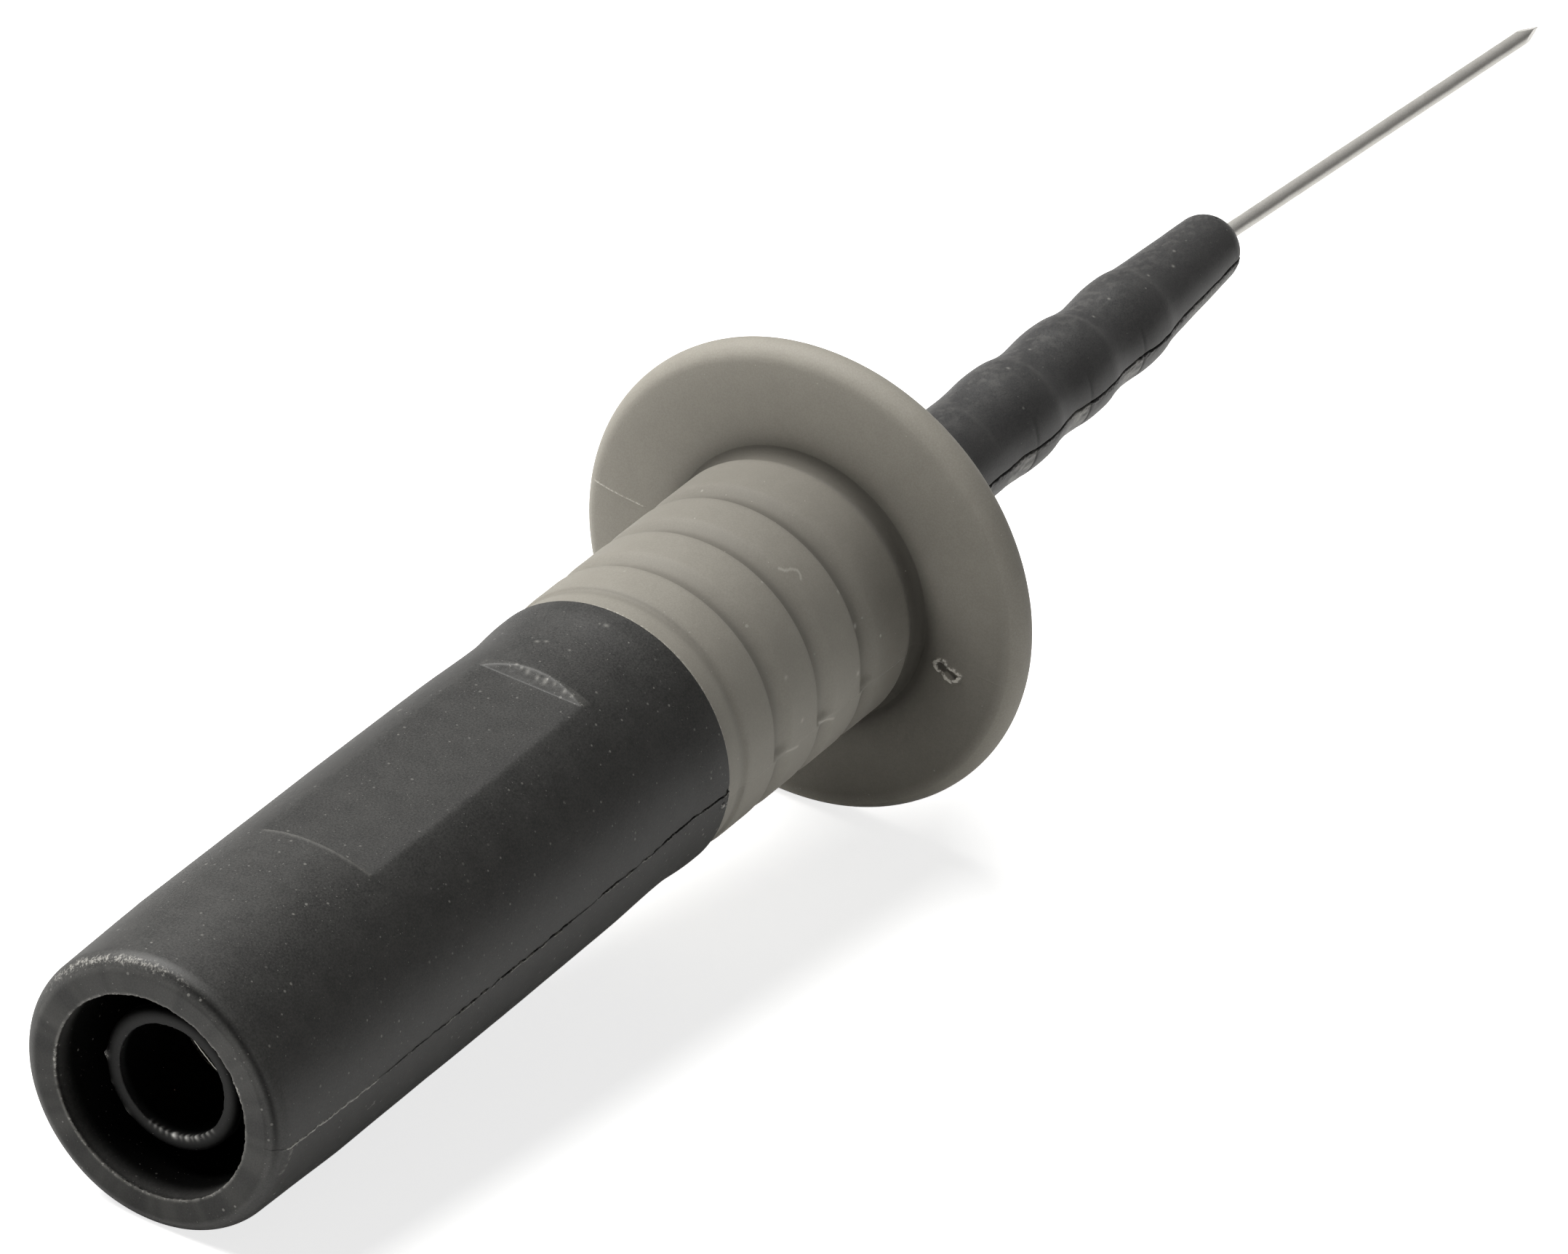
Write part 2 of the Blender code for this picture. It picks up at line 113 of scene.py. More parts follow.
# %% Camera at the photograph's angle
camera_data = bpy.data.cameras.new("photo_camera")
camera = bpy.data.objects.new("photo_camera", camera_data)
bpy.context.scene.collection.objects.link(camera)
to_right = Vector((0.52820, -0.84533, 0.08254)).normalized()
to_top = Vector((0.42237, 0.34592, 0.83780))
to_back = to_right.cross(to_top).normalized()
to_top = to_back.cross(to_right)
stand = Matrix((to_right, to_top, to_back)).transposed().to_4x4()
stand.translation = Vector((-0.310037, -0.198533, 0.260940))
camera.matrix_world = stand
camera_data.sensor_width = 36.0
camera_data.lens = 256.17
camera_data.clip_start = 0.01
camera_data.clip_end = 10.0
bpy.context.scene.camera = camera
print("camera", [round(v, 4) for v in camera.location])

# %% [markdown]
# ## Outlines and skins
#
# Every visible piece is turned or moulded round one axis, so each is drawn as an outline of
# (x, radius) points that is spun. Blender's Screw modifier could spin it, but here numpy makes the
# grid of points itself. That allows reliefs: functions that move each point along the surface's
# own normal. Rings, mould seams, flash and dents all become real shape in this way.

# %% Outline helpers
def arc(centre_x, centre_r, size_x, size_r, start_deg, end_deg, steps):
    """Points of an elliptical arc; 0 degrees points along +X and 90 away from the axis."""
    angles = np.radians(np.linspace(start_deg, end_deg, steps + 1))
    return [(centre_x + size_x * math.cos(a), centre_r + size_r * math.sin(a)) for a in angles]


def soft_step(start_x, start_r, end_x, end_r, steps):
    """An S-curve between two radii, level at both ends."""
    points = []
    for share in np.linspace(0, 1, steps + 1):
        ease = (1 - math.cos(math.pi * share)) / 2
        points.append((start_x + (end_x - start_x) * share, start_r + (end_r - start_r) * ease))
    return points


def divided(points, step, fine_step=None, fine_places=()):
    """Adds points so that no stretch is longer than step, or fine_step in the given x places."""
    borders = [x for place in fine_places for x in place]
    result = [points[0]]
    for (x0, r0), (x1, r1) in zip(points, points[1:]):
        inside = [(x - x0) / (x1 - x0) for x in borders if min(x0, x1) + 0.01 < x < max(x0, x1) - 0.01]
        shares = [0.0] + sorted(inside) + [1.0]
        for start, end in zip(shares, shares[1:]):
            middle = x0 + (x1 - x0) * (start + end) / 2
            near = any(low <= middle <= high for low, high in fine_places)
            length = math.hypot(x1 - x0, r1 - r0) * (end - start)
            count = max(1, math.ceil(length / (fine_step if near else step)))
            for share in np.linspace(start, end, count + 1)[1:]:
                result.append((x0 + (x1 - x0) * share, r0 + (r1 - r0) * share))
    return result


def turn_angles(count, crowded=()):
    """Angles round the axis, in degrees, closer together near each (place, spread, strength)."""
    fine = np.linspace(-180, 180, 36001)
    weight = np.ones_like(fine)
    for place, spread, strength in crowded:
        away = (fine - place + 180) % 360 - 180
        weight += strength * np.exp(-(away / spread) ** 2)
    total = np.concatenate([[0], np.cumsum((weight[1:] + weight[:-1]) / 2)])
    return np.interp(np.linspace(0, total[-1], count + 1)[:-1], total, fine)


# %% [markdown]
# **Uneven surfaces.** A real moulding is never quite smooth or clean. A Noise texture could show
# that in the material, but noise from a fixed seed can shape the mesh and put a pale mark on the
# same bump.

# %% Noise helpers
def lumps(x, deg, size_x, around, seed):
    """Smooth noise from -1 to 1 over a round surface: size_x mm long and around lumps per turn."""
    table = np.random.RandomState(seed).uniform(-1, 1, (400, around))
    u = x / size_x + 50
    v = (deg / 360 % 1) * around
    u0, v0 = np.floor(u).astype(int), np.floor(v).astype(int)
    fu, fv = u - u0, v - v0
    fu, fv = fu * fu * (3 - 2 * fu), fv * fv * (3 - 2 * fv)
    a, b = table[u0 % 400, v0 % around], table[(u0 + 1) % 400, v0 % around]
    c, d = table[u0 % 400, (v0 + 1) % around], table[(u0 + 1) % 400, (v0 + 1) % around]
    return (a * (1 - fu) + b * fu) * (1 - fv) + (c * (1 - fu) + d * fu) * fv


def ripple(x, size, seed):
    """Smooth noise from -1 to 1 along a line."""
    table = np.random.RandomState(seed).uniform(-1, 1, 997)
    u = x / size + 50
    u0 = np.floor(u).astype(int)
    f = u - u0
    f = f * f * (3 - 2 * f)
    return table[u0 % 997] * (1 - f) + table[(u0 + 1) % 997] * f


# %% [markdown]
# **Soft masks.** Each dent or mark is a number from 0 to 1 at every point. It could be painted by
# hand, but a formula with a bell or a ramp for its edge stays exact on any grid.

# %% Mask helpers
def bell(value, width):
    """1 at zero, falling smoothly to nothing a few widths away."""
    return np.exp(-(value / width) ** 2)


def ramp(value, low, high):
    """0 below low, 1 above high and smooth between."""
    t = np.clip((value - low) / (high - low), 0, 1)
    return t * t * (3 - 2 * t)


def turn_gap(deg, place):
    """Signed angle from place, in degrees."""
    return (deg - place + 180) % 360 - 180


def facing(deg, place, width, power=2):
    """1 at the turn place, less to its sides; a higher power gives a flatter top."""
    return np.exp(-(np.abs(turn_gap(deg, place)) / width) ** power)


def patches(deg, places):
    """Sum of soft patches round the axis, from (turn, width, strength) places."""
    return sum(strength * facing(deg, turn, width) for turn, width, strength in places)


def round_gap(deg, place, radius):
    """Signed distance from the turn place in mm, round a surface of this radius."""
    return np.radians(turn_gap(deg, place)) * radius


def stepped(x, steps):
    """A value that changes along the probe, from (x, value) steps."""
    return np.interp(x, [place for place, value in steps], [value for place, value in steps])


def stroke(u, v, path, half_width, soft):
    """1 on a line through the points of path and 0 beyond half_width."""
    nearest = np.full(np.broadcast(u, v).shape, 9.0)
    for (u0, v0), (u1, v1) in zip(path, path[1:]):
        du, dv = u1 - u0, v1 - v0
        t = np.clip(((u - u0) * du + (v - v0) * dv) / (du * du + dv * dv), 0, 1)
        nearest = np.minimum(nearest, np.hypot(u - u0 - t * du, v - v0 - t * dv))
    return ramp(half_width - nearest, 0, soft)


def dots(x, deg, radius, places):
    """Small round marks at the (x, turn, size) places of a round surface."""
    total = sum(bell(np.hypot(x - place, round_gap(deg, turn, radius)), size) for place, turn, size in places)
    return np.clip(total, 0, 1)


# %% [markdown]
# ** From numbers to a mesh.** The skin maker spins the outline, adds up the reliefs and keeps three marks on the points: one for rubbed or torn edges and painted glints, one for painted shade with some grime, and one for smooth pale marks and painted highlights. Separate materials could do that, but marks have no borders.

# %% Mesh from a grid
def round_points(x, r, deg):
    """Points of a turned surface: 0 degrees is +Z and 90 degrees is +Y."""
    turn = np.radians(deg)
    return np.stack(np.broadcast_arrays(x, r * np.sin(turn), r * np.cos(turn)), -1)


def mesh_from_grid(name, points, marks, closed=True):
    """A mesh from a grid of points that closes on itself round the axis."""
    rows, columns = points.shape[:2]
    index = np.arange(rows * columns).reshape(rows, columns)
    if closed:
        index = np.vstack([index, index[:1]])
    beside = np.roll(index, -1, axis=1)
    quads = np.stack([index[:-1], index[1:], beside[1:], beside[:-1]], -1).reshape(-1, 4)
    flat = points.reshape(-1, 3)
    a, b, c, d = (flat[quads[:, i]] for i in range(4))
    volume = (np.einsum("ij,ij->i", a, np.cross(b, c)) + np.einsum("ij,ij->i", a, np.cross(c, d))).sum()
    if volume < 0:
        quads = quads[:, ::-1]
    mesh = bpy.data.meshes.new(name)
    mesh.vertices.add(len(flat))
    mesh.vertices.foreach_set("co", (flat * MM).astype(np.float32).ravel())
    mesh.loops.add(quads.size)
    mesh.loops.foreach_set("vertex_index", quads.astype(np.int32).ravel())
    mesh.polygons.add(len(quads))
    mesh.polygons.foreach_set("loop_start", np.arange(0, quads.size, 4, dtype=np.int32))
    mesh.update(calc_edges=True)
    mesh.validate()
    for mark, values in marks.items():
        layer = mesh.attributes.new(mark, "FLOAT", "POINT")
        layer.data.foreach_set("value", np.clip(values, 0, 1).astype(np.float32).ravel())
    mesh.shade_smooth()
    piece = bpy.data.objects.new(name, mesh)
    bpy.context.scene.collection.objects.link(piece)
    print(name, len(flat), "points")
    return piece


# %% Skin maker
def skin(name, outline, angles, reliefs, shape=None):
    """Spins a closed outline and lets reliefs and shape change it.

    Each relief(x, r, deg) gives height and three marks: how far a point moves along the normal, and its worn
    edges with painted glints, its painted shade with grime, and its pale marks with painted highlights for
    the material. shape(points) may then move points freely.
    """
    outline = np.array(outline)
    along = np.roll(outline, -1, axis=0) - np.roll(outline, 1, axis=0)
    along /= np.linalg.norm(along, axis=1, keepdims=True) + 1e-9
    x, r = outline[:, :1], outline[:, 1:]
    side = np.sign((x * np.roll(r, -1, axis=0) - np.roll(x, -1, axis=0) * r).sum())
    x, r, deg = np.broadcast_arrays(x, r, angles)
    height, *marks = (sum(values) for values in zip(*(relief(x, r, deg) for relief in reliefs)))
    points = round_points(x + side * along[:, 1:] * height, r - side * along[:, :1] * height, deg)
    if shape is not None:
        points = shape(points)
    named = zip(("wear_and_glint", "shade_and_grime", "bloom_and_highlight"), marks)
    return mesh_from_grid(name, points, {label: values for label, values in named if np.ndim(values)})


def masked(mask, *values):
    """Height and marks that count only inside mask."""
    return [mask * value for value in values]


def edge_lumps(x, deg, around, seed):
    """Noise for an edge that runs round the axis, so it hardly changes along x."""
    return lumps(x, deg, 5, around, seed)


# %% [markdown]
# ## The handle
#
# The handle is one black moulding: a plug shroud with a rounded rim, a grip, a shallow waist and a
# collar. A cylinder could be cut and bevelled into this, but an outline gives each radius its real
# size. What is hidden inside it is plain.

# %% Handle outline
shroud_shown = 9.0
waist_rear_radius = grip_radius - grip_draft
collar_radius = grip_radius - collar_loss
bore_edge = 0.06
outer = [(shroud_shown, shroud_radius), (bore_edge, shroud_radius)]
outer += arc(bore_edge, shroud_radius + bore_edge, bore_edge, bore_edge, 270, 180, 4)
outer += arc(rim_round, grip_radius - rim_draft - rim_round, rim_round, rim_round, 180, 90, 22)
outer += [(rim_draft_end, grip_radius), ((panel_start + panel_end) / 2, grip_radius)]
outer += soft_step(waist_start, waist_rear_radius, waist_place, waist_rear_radius - waist_depth, 24)
outer += soft_step(waist_place, waist_rear_radius - waist_depth,
                   handle_front - collar_length, collar_radius, 16)[1:]
outer += arc(handle_front - collar_edge, collar_radius - collar_edge, collar_edge, collar_edge,
             90, 0, 5)
fine_stretches = [(panel_start - 0.5, panel_start + 0.3), (panel_end - 0.3, panel_end + 0.9),
                  (handle_front - 1, handle_front)]
outer = divided(outer, 0.08, 0.035, fine_stretches)
hidden = [
    (handle_front, spigot_radius), (spigot_front - 0.3, spigot_radius),
    (spigot_front, spigot_radius - 0.3), (spigot_front, bay_radius), (bay_start, bay_radius),
    (bay_start, tube_radius + seat_gap), (shroud_depth, tube_radius + seat_gap),
    (shroud_depth, shroud_radius),
]
handle_outline = outer + hidden
print("handle outline:", len(handle_outline), "points")

# %% [markdown]
# **The parting line.** Where the mould's halves met, the plastic has a thin crack of shadow, a
# torn lip of flash, a squeezed blob and a nick. A texture could draw them, but relief catches the
# light. Two tables say where along the handle crack and flash are strong.

# %% Handle seam
seam_deg = -90.0
shroud_flash_end = 7
blob_place, nick_place = 33.35, 33.72
crack_steps = [(0, 0), (7, 0), (9, 0.3), (12.5, 0.35), (13.2, 1), (15, 1), (15.6, 0.35), (16.2, 1),
               (21, 1), (21.6, 0.3), (23.2, 0.3), (23.8, 1), (26, 1), (26.6, 0.25), (27.8, 0.25),
               (28.3, 1), (33, 1), (33.8, 0.6)]
flash_steps = [(0.3, 0), (0.8, 0.8), (6.5, 0.8), (7.5, 0.3), (11.5, 0.3), (12.5, 0.8), (20.5, 0.8),
               (21.5, 0.3), (23.5, 0.3), (24.5, 0.85), (27, 0.85), (28, 0.4), (33, 0.4), (33.8, 0.5)]


def outside(x, r):
    """The handle's outer side, without the bore and the front face."""
    return (r > 5.6) & (x < handle_front - 0.02)


def handle_seam(x, r, deg):
    """Step, crack, lip of flash, blob and nick along the parting line."""
    across = round_gap(deg, seam_deg, grip_radius)
    line = across - 0.03 * ripple(x, 0.9, 21) - 0.028 * ripple(x, 0.27, 22) - 0.012 * ripple(x, 0.12, 23)
    step = 0.018 * ramp(-line, 0.0, 0.05) * bell(line, 0.6)
    crack = stepped(x, crack_steps) * np.clip(0.66 + 0.8 * ripple(x, 0.4, 24), 0, 1)
    rear = x < shroud_flash_end
    torn = ramp(ripple(x, 0.55, 25) + 0.7 * ripple(x, 0.17, 26), -0.55, 0.3)
    torn = stepped(x, flash_steps) * np.where(rear, 0.8 + 0.2 * ripple(x, 0.2, 27), torn)
    lip = torn * bell(line + 0.05 + 0.02 * ripple(x, 0.2, 28), np.where(rear, 0.05, 0.036))
    blob = bell(x - blob_place, 0.35) * bell(across + 0.5 + 0.15 * ripple(x, 0.3, 29), 0.24)
    blob *= np.clip(0.7 + 1.2 * lumps(x, deg, 0.14, 300, 30), 0, 1.3)
    nick = bell(x - nick_place, 0.17) * bell(across - 0.1, 0.16)
    nick *= np.clip(0.8 + lumps(x, deg, 0.12, 300, 46), 0, 1.3)
    height = step + np.where(rear, 0.025, 0.055) * lip + 0.08 * blob
    height -= 0.065 * crack * bell(line, 0.032) + 0.07 * nick
    # The crack and the nick are darkened with painted shade.
    shade_and_grime = crack * bell(line, 0.038) + 0.8 * nick
    return masked(outside(x, r), height, 1.1 * lip + 0.6 * blob, shade_and_grime, 0.32 * lip)


# %% [markdown]
# ** The rear rim** is nearest to the camera. Its inner edge is ragged with two burrs, its shoulder is rubbed pale at the top with a painted highlight there too, and a shallow groove runs along it, darkened with painted shade. Painted shade also darkens the rim's face, most towards the bottom, and the bore inwards. Chips could be modelled one by one, but noise that is held to the edge gives them all at once.

# %% Handle rim
rim_burrs = [(91, 4, 1), (-62, 4, 0.7)]
groove_radius, rim_face_radius = 6.03, 5.95


def handle_rim(x, r, deg):
    """Ragged inner edge, shoulder with wear and a painted highlight, groove with painted shade, dusty face
    with painted shade, and painted shade in the bore.
    """
    rim_edge = bell(np.hypot(x, r - shroud_radius), 0.12)
    burr = rim_edge * patches(deg, rim_burrs)
    bead = ramp(edge_lumps(x, deg, 230, 34) + 0.5 * edge_lumps(x, deg, 480, 35), -0.35, 0.7)
    # The shoulder's pale top is rubbed wear with a painted highlight.
    shoulder_wear_and_highlight = bell(np.hypot(x - 0.3, r - (grip_radius - rim_draft - 0.22)), 0.27)
    shoulder_wear_and_highlight *= facing(deg, 26, 40, 4) * (0.8 + 0.3 * lumps(x, deg, 0.2, 240, 36))
    groove = bell(np.hypot(x - 0.19, r - groove_radius), 0.15) * facing(deg, -46, 52, 6)
    height = rim_edge * (0.02 * edge_lumps(x, deg, 170, 31) + 0.014 * edge_lumps(x, deg, 390, 32))
    height += burr * (0.03 + 0.05 * edge_lumps(x, deg, 260, 33)) - 0.035 * groove
    flat = ramp(rim_face_radius - r, 0, 0.15) * (x < 0.2) * (r > shroud_radius)
    bloom_and_highlight = 0.03 * flat * (1 + edge_lumps(x, deg, 26, 37) + 0.8 * edge_lumps(x, deg, 90, 38))
    bore_line = bell(np.hypot(x - 0.02, r - shroud_radius - 0.02), 0.07)
    bloom_and_highlight += 0.24 * bore_line * (1 + 0.7 * edge_lumps(x, deg, 150, 39))
    # Painted shade darkens the groove, the bore inwards and the rim's face, most towards the bottom.
    shade_and_grime = 0.6 * groove + (r < shroud_radius + 0.05) * ramp(x, 0.15, 1.3)
    rim_face_shade = 0.45 - 0.12 * np.cos(np.radians(deg + 30))
    shade_and_grime += rim_face_shade * ramp(0.35 - x, 0, 0.25) * ramp(rim_face_radius - 0.05 - r, 0, 0.3)
    return height, 0.4 * rim_edge * bead + 0.5 * burr + 0.52 * shoulder_wear_and_highlight, shade_and_grime, bloom_and_highlight


# %% [markdown]
# ** The panel** is a flat sunk into the top. It could be cut with a Boolean, but on a fine grid it is simpler to press down every point above its floor and end walls. A painted highlight runs as a fine bright line along the rear wall's edge, and the front wall is painted lighter and glitters with painted glints.

# %% Handle panel
panel_edge_deg = 24
wall_specks = [(27.89, 9.1, 0.07), (27.8, 3.5, 0.08), (27.74, -1.1, 0.07), (27.72, -4.7, 0.09),
               (27.77, -8.7, 0.06), (27.68, -13.8, 0.07), (27.66, -17.5, 0.05), (27.84, 6.5, 0.05)]


def handle_panel(x, r, deg):
    """Painted highlight line, painted glints and painted lightening, and pale specks at the panel's two end
    walls.
    """
    climb = (r * np.cos(np.radians(deg)) - panel_floor) / panel_depth
    edge = panel_start - panel_rear_draft * np.clip(climb, 0, 1)
    in_panel = ramp(panel_edge_deg + 1 - np.abs(turn_gap(deg, 0)), 0, 1.5) * (r > 6)
    edge_highlight_line = bell(x - edge + 0.05, 0.11) * in_panel
    front = (x - panel_end) / panel_front_draft
    painted_glints = ramp(lumps(x, deg, 0.08, 460, 43) + 0.6 * lumps(x, deg, 0.05, 760, 44), 0.5, 1.1)
    painted_glints *= ramp(front, -0.3, 0.1) * ramp(1.25 - front, 0, 0.35) * in_panel
    wall = ramp(front, -0.05, 0.15) * ramp(1.1 - front, 0, 0.2) * in_panel
    specks = dots(x, deg, 6.3, wall_specks) * outside(x, r)
    # The bright rear-edge line is a painted highlight, the front wall is painted lighter with painted glints,
    # and the specks are pale marks.
    bloom_and_highlight = 0.2 * edge_highlight_line * (0.8 + 0.2 * ripple(deg, 1.5, 45)) + 0.5 * specks
    bloom_and_highlight += (0.045 + 0.05 * facing(deg, -19, 4)) * wall
    return 0.012 * edge_highlight_line + 0.03 * specks, 0.5 * painted_glints, 0, bloom_and_highlight


def press_panel(points):
    """Presses the top down to the panel's floor and end walls, and keeps the rim behind x = 0."""
    x, y, z = points[..., 0], points[..., 1], points[..., 2]
    rear = (panel_start - x) / panel_rear_draft
    front = (x - panel_end) / panel_front_draft
    wall_deg = np.degrees(np.arctan2(y, z))
    rough = 0.012 * lumps(x, wall_deg, 0.14, 300, 51) + 0.008 * lumps(x, wall_deg, 0.07, 600, 52)
    rough *= ramp(front, -0.1, 0.3) * ramp(1.3 - front, 0, 0.3)
    gap = z - (panel_floor + panel_depth * np.maximum(0, np.maximum(rear, front)) + rough)
    soft = 0.03
    above = soft * np.logaddexp(0, np.clip(gap / soft, -30, 60))
    top = (np.hypot(y, z) > 5.7) & (z > 0) & (gap > -6 * soft)
    points[..., 0] = np.maximum(x, 0)
    points[..., 2] = np.where(top, z - above, z)
    return points


# %% [markdown]
# ** Small marks** make the handle used: a scuff, pale specks and fine scratches, and two lengthwise bands of painted shade darken its side. One noise texture could scatter them, but real marks have places of their own.

# %% Handle marks
rim_scuff = [(0.86, -10.4), (0.78, -10.8), (0.54, -11.5)]
pale_specks = [(30.11, 13.0, 0.09), (30.27, 9.7, 0.08), (32.68, -3.3, 0.1), (23.25, 35.5, 0.1),
               (30.2, -1.2, 0.06)]
shade_bands = [(-27, 18, 0.17), (-70, 18, 0.12)]


def handle_marks(x, r, deg):
    """Unevenness, scuff, specks, scratches and bands of painted shade."""
    height = 0.006 * lumps(x, deg, 3.1, 14, 11) + 0.0025 * lumps(x, deg, 0.8, 60, 12)
    shown = outside(x, r)
    spot = shown * bell(np.hypot(x - 0.5, round_gap(deg, -162, grip_radius)), 0.09)
    scratch = ramp(lumps(x, deg, 0.35, 260, 41) + 0.4 * lumps(x, deg, 0.12, 500, 42), 0.25, 0.9)
    scratch *= bell(x - 6.6, 1.6) * facing(deg, -101 - 2.2 * (x - 6.5), 3.5)
    scuff = stroke(x, round_gap(deg, 0, grip_radius), rim_scuff, 0.16, 0.14)
    scuff *= np.clip(0.5 + 1.3 * lumps(x, deg, 0.12, 300, 40), 0, 1)
    bloom_and_highlight = shown * (0.4 * dots(x, deg, 6.45, pale_specks) + 0.3 * scuff)
    # The two bands darken the side with painted shade.
    return height, 0.8 * spot + 0.5 * scratch, shown * patches(deg, shade_bands), bloom_and_highlight


handle_angles = turn_angles(
    600, [(seam_deg, 2.4, 9), (panel_edge_deg, 1.5, 2.5), (-panel_edge_deg, 1.5, 2.5)])
handle_reliefs = (handle_marks, handle_seam, handle_rim, handle_panel)
handle = skin("handle_skin", handle_outline, handle_angles, handle_reliefs, press_panel)
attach(handle, "root")
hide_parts("handle_shell")

# %% [markdown]
# ## The grey guard
#
# The sleeve and the finger disc are one soft moulding that is pushed over the handle's spigot. Its
# outline holds what runs evenly all the way round: the lower band, the soft shoulder and the
# fillet at the neck, the slightly bulged disc and the hub. Plain bevelled cylinders would lack the
# bulge.

# %% Guard outline
face = disc_rear - disc_bulge
edge_round = (disc_front - disc_rear) / 2
neck_radius = sleeve_radius - ring_depth
band_front, band_radius, band_round = sleeve_rear + band_length, sleeve_radius - band_depth, 0.06
guard_outline = [(sleeve_rear, guard_bore), (sleeve_rear, band_radius - band_round)]
guard_outline += arc(sleeve_rear + band_round, band_radius - band_round, band_round, band_round, 180, 90, 3)
guard_outline += [(band_front, band_radius)]
guard_outline += soft_step(band_front, band_radius, band_front + band_rise, sleeve_radius, 5)[1:]
guard_outline += soft_step(ring_starts[3] + 0.3, sleeve_radius, ring_starts[3] + 1.1, neck_radius, 12)
guard_outline += arc(face - neck_fillet, neck_radius + neck_fillet, neck_fillet, neck_fillet, -90, 0, 8)
edge_arc = arc(disc_rear + edge_round, disc_radius - edge_round, edge_round, edge_round,
               180 - disc_rim_deg, 0, 36)
flat_end = edge_arc[0][1] - disc_rim_width
for share in np.linspace(0, 1, 20)[:-1]:
    guard_outline.append((face + (edge_arc[0][0] - face) * share ** 2.8, flat_end + disc_rim_width * share))
guard_outline += edge_arc
guard_outline += [(disc_front, hub_radius)]
guard_outline += arc(hub_front - hub_edge, hub_radius - hub_taper - hub_edge, hub_edge, hub_edge, 90, 0, 8)
guard_outline = divided(guard_outline, 0.09, 0.045, [(41.1, 43.2), (face - 0.01, face + 0.01)])
seat_front = nose_flange_front + seat_gap
guard_outline += [(hub_front, nose_root_radius + seat_gap), (seat_front, nose_root_radius + seat_gap),
                  (seat_front, guard_bore)]
print("guard outline:", len(guard_outline), "points")

# %% [markdown]
# **The rings** have a crisp rear edge and a soft front. The lower half of the mould sits a little
# off, so they jog at the seam. They could be part of the outline, but a plain revolve can't jog
# and fade. They are marked with some shade too, because the soft light alone leaves them flat.

# %% Guard rings
guard_seam_deg = -95.0
ring_jog = 0.32


def on_sleeve(x, r):
    """The sleeve's outer side."""
    return (r > 5.9) & (r < 6.6) & (x < disc_rear)


def lower_half(deg):
    """1 on the side that came from the mould's lower half."""
    gap = turn_gap(deg, guard_seam_deg)
    return ramp(-gap, -1.2, 1.2) * ramp(gap, -175, -170)


def ring_profile(x, start):
    """0 outside a ring and 1 at its floor: a crisp drop at the rear and a soft rise in front."""
    share = (x - start) / ring_width
    return ramp(share, -0.08, 0.2) * (1 - ramp(share, 0.45, 1.05))


def guard_rings(x, r, deg):
    """Rings with their jog, the band's edge, and the shade in both."""
    lower = lower_half(deg)
    back = x - ring_jog * lower
    rings = sum(ring_profile(back, start) for start in ring_starts[:3])
    drop = sum(bell(back - start - 0.34, 0.36) for start in ring_starts[:3])
    notch = 1 - 0.72 * facing(deg, guard_seam_deg, 3.0)
    band_edge = bell(x - band_front, 0.3)
    height = -ring_depth * rings * (1 - 0.12 * lower) * notch
    height -= 0.03 * lower * facing(deg, guard_seam_deg, 14) + 0.08 * band_edge
    side = 0.55 + 0.45 * facing(deg, -45, 50) + 0.5 * lower
    shade_and_grime = (0.1 * rings + 0.42 * drop * side) * notch + 0.3 * band_edge * side
    return masked(on_sleeve(x, r), height, 0.16 * bell(x - band_front - 0.3, 0.12), shade_and_grime, 0)


# %% [markdown]
# **Seams and cavity digit.** Fine raised lines show where the mould's halves met, and a small
# raised digit tells which of the mould's cavities the piece came from. It could be a text object,
# but the real one is uneven and partly hollow, so it is drawn in strokes.

# %% Guard seams and digit
far_seam_deg, near_seam_deg = 85.0, -96.0
digit_radius, digit_deg = 7.99, -99.6
digit_outline = [(-0.72, 0.11), (-0.48, 0.38), (-0.17, 0.42), (-0.06, 0.15), (0.25, 0.19),
                 (0.52, 0.08), (0.67, -0.01), (0.47, -0.3), (0.22, -0.45), (-0.05, -0.38),
                 (-0.25, -0.19), (-0.48, -0.11), (-0.72, 0.11)]
digit_pit = [(-0.41, 0.12), (-0.22, 0.03)]
digit_slot = [(-0.0, 0.02), (0.2, -0.08), (0.36, -0.19)]


def on_disc(x, r):
    """The disc's rear face."""
    return (x > face - 0.05) & (x < disc_rear + 0.1) & (r > 6.6)


def guard_seams(x, r, deg):
    """Raised parting lines: along the sleeve, and at two turns across the disc's rear face."""
    sleeve, disc = on_sleeve(x, r), on_disc(x, r)
    line = sleeve * bell(round_gap(deg, guard_seam_deg, sleeve_radius), 0.05)
    breaks = ripple(x, 0.8, 63)
    far = disc * bell(round_gap(deg, far_seam_deg, r), 0.045) * ramp(r, 7.6, 8.3)
    near = disc * bell(round_gap(deg, near_seam_deg, r), 0.04) * ramp(r, 8.9, 9.6)
    height = 0.02 * line * ramp(breaks, -0.5, 0.3) + 0.03 * far + 0.012 * near
    return height, 0.3 * line * ramp(breaks, -0.2, 0.5) + 0.6 * far, 0, 0


def guard_digit(x, r, deg):
    """The raised, partly hollow digit on the disc, with painted shade in its hollows."""
    turn, centre = np.radians(deg), math.radians(digit_deg)
    u = -(r * np.sin(turn) - digit_radius * math.sin(centre))
    v = r * np.cos(turn) - digit_radius * math.cos(centre)
    digit = stroke(u, v, digit_outline, 0.14, 0.09) * (0.7 + 0.5 * lumps(r, deg, 0.14, 640, 64))
    hollow = np.maximum(stroke(u, v, digit_pit, 0.2, 0.09), stroke(u, v, digit_slot, 0.12, 0.07))
    raised = digit * (1 - hollow)
    return masked(on_disc(x, r), 0.09 * raised - 0.05 * hollow, 0.85 * raised, 0.4 * hollow, 0)


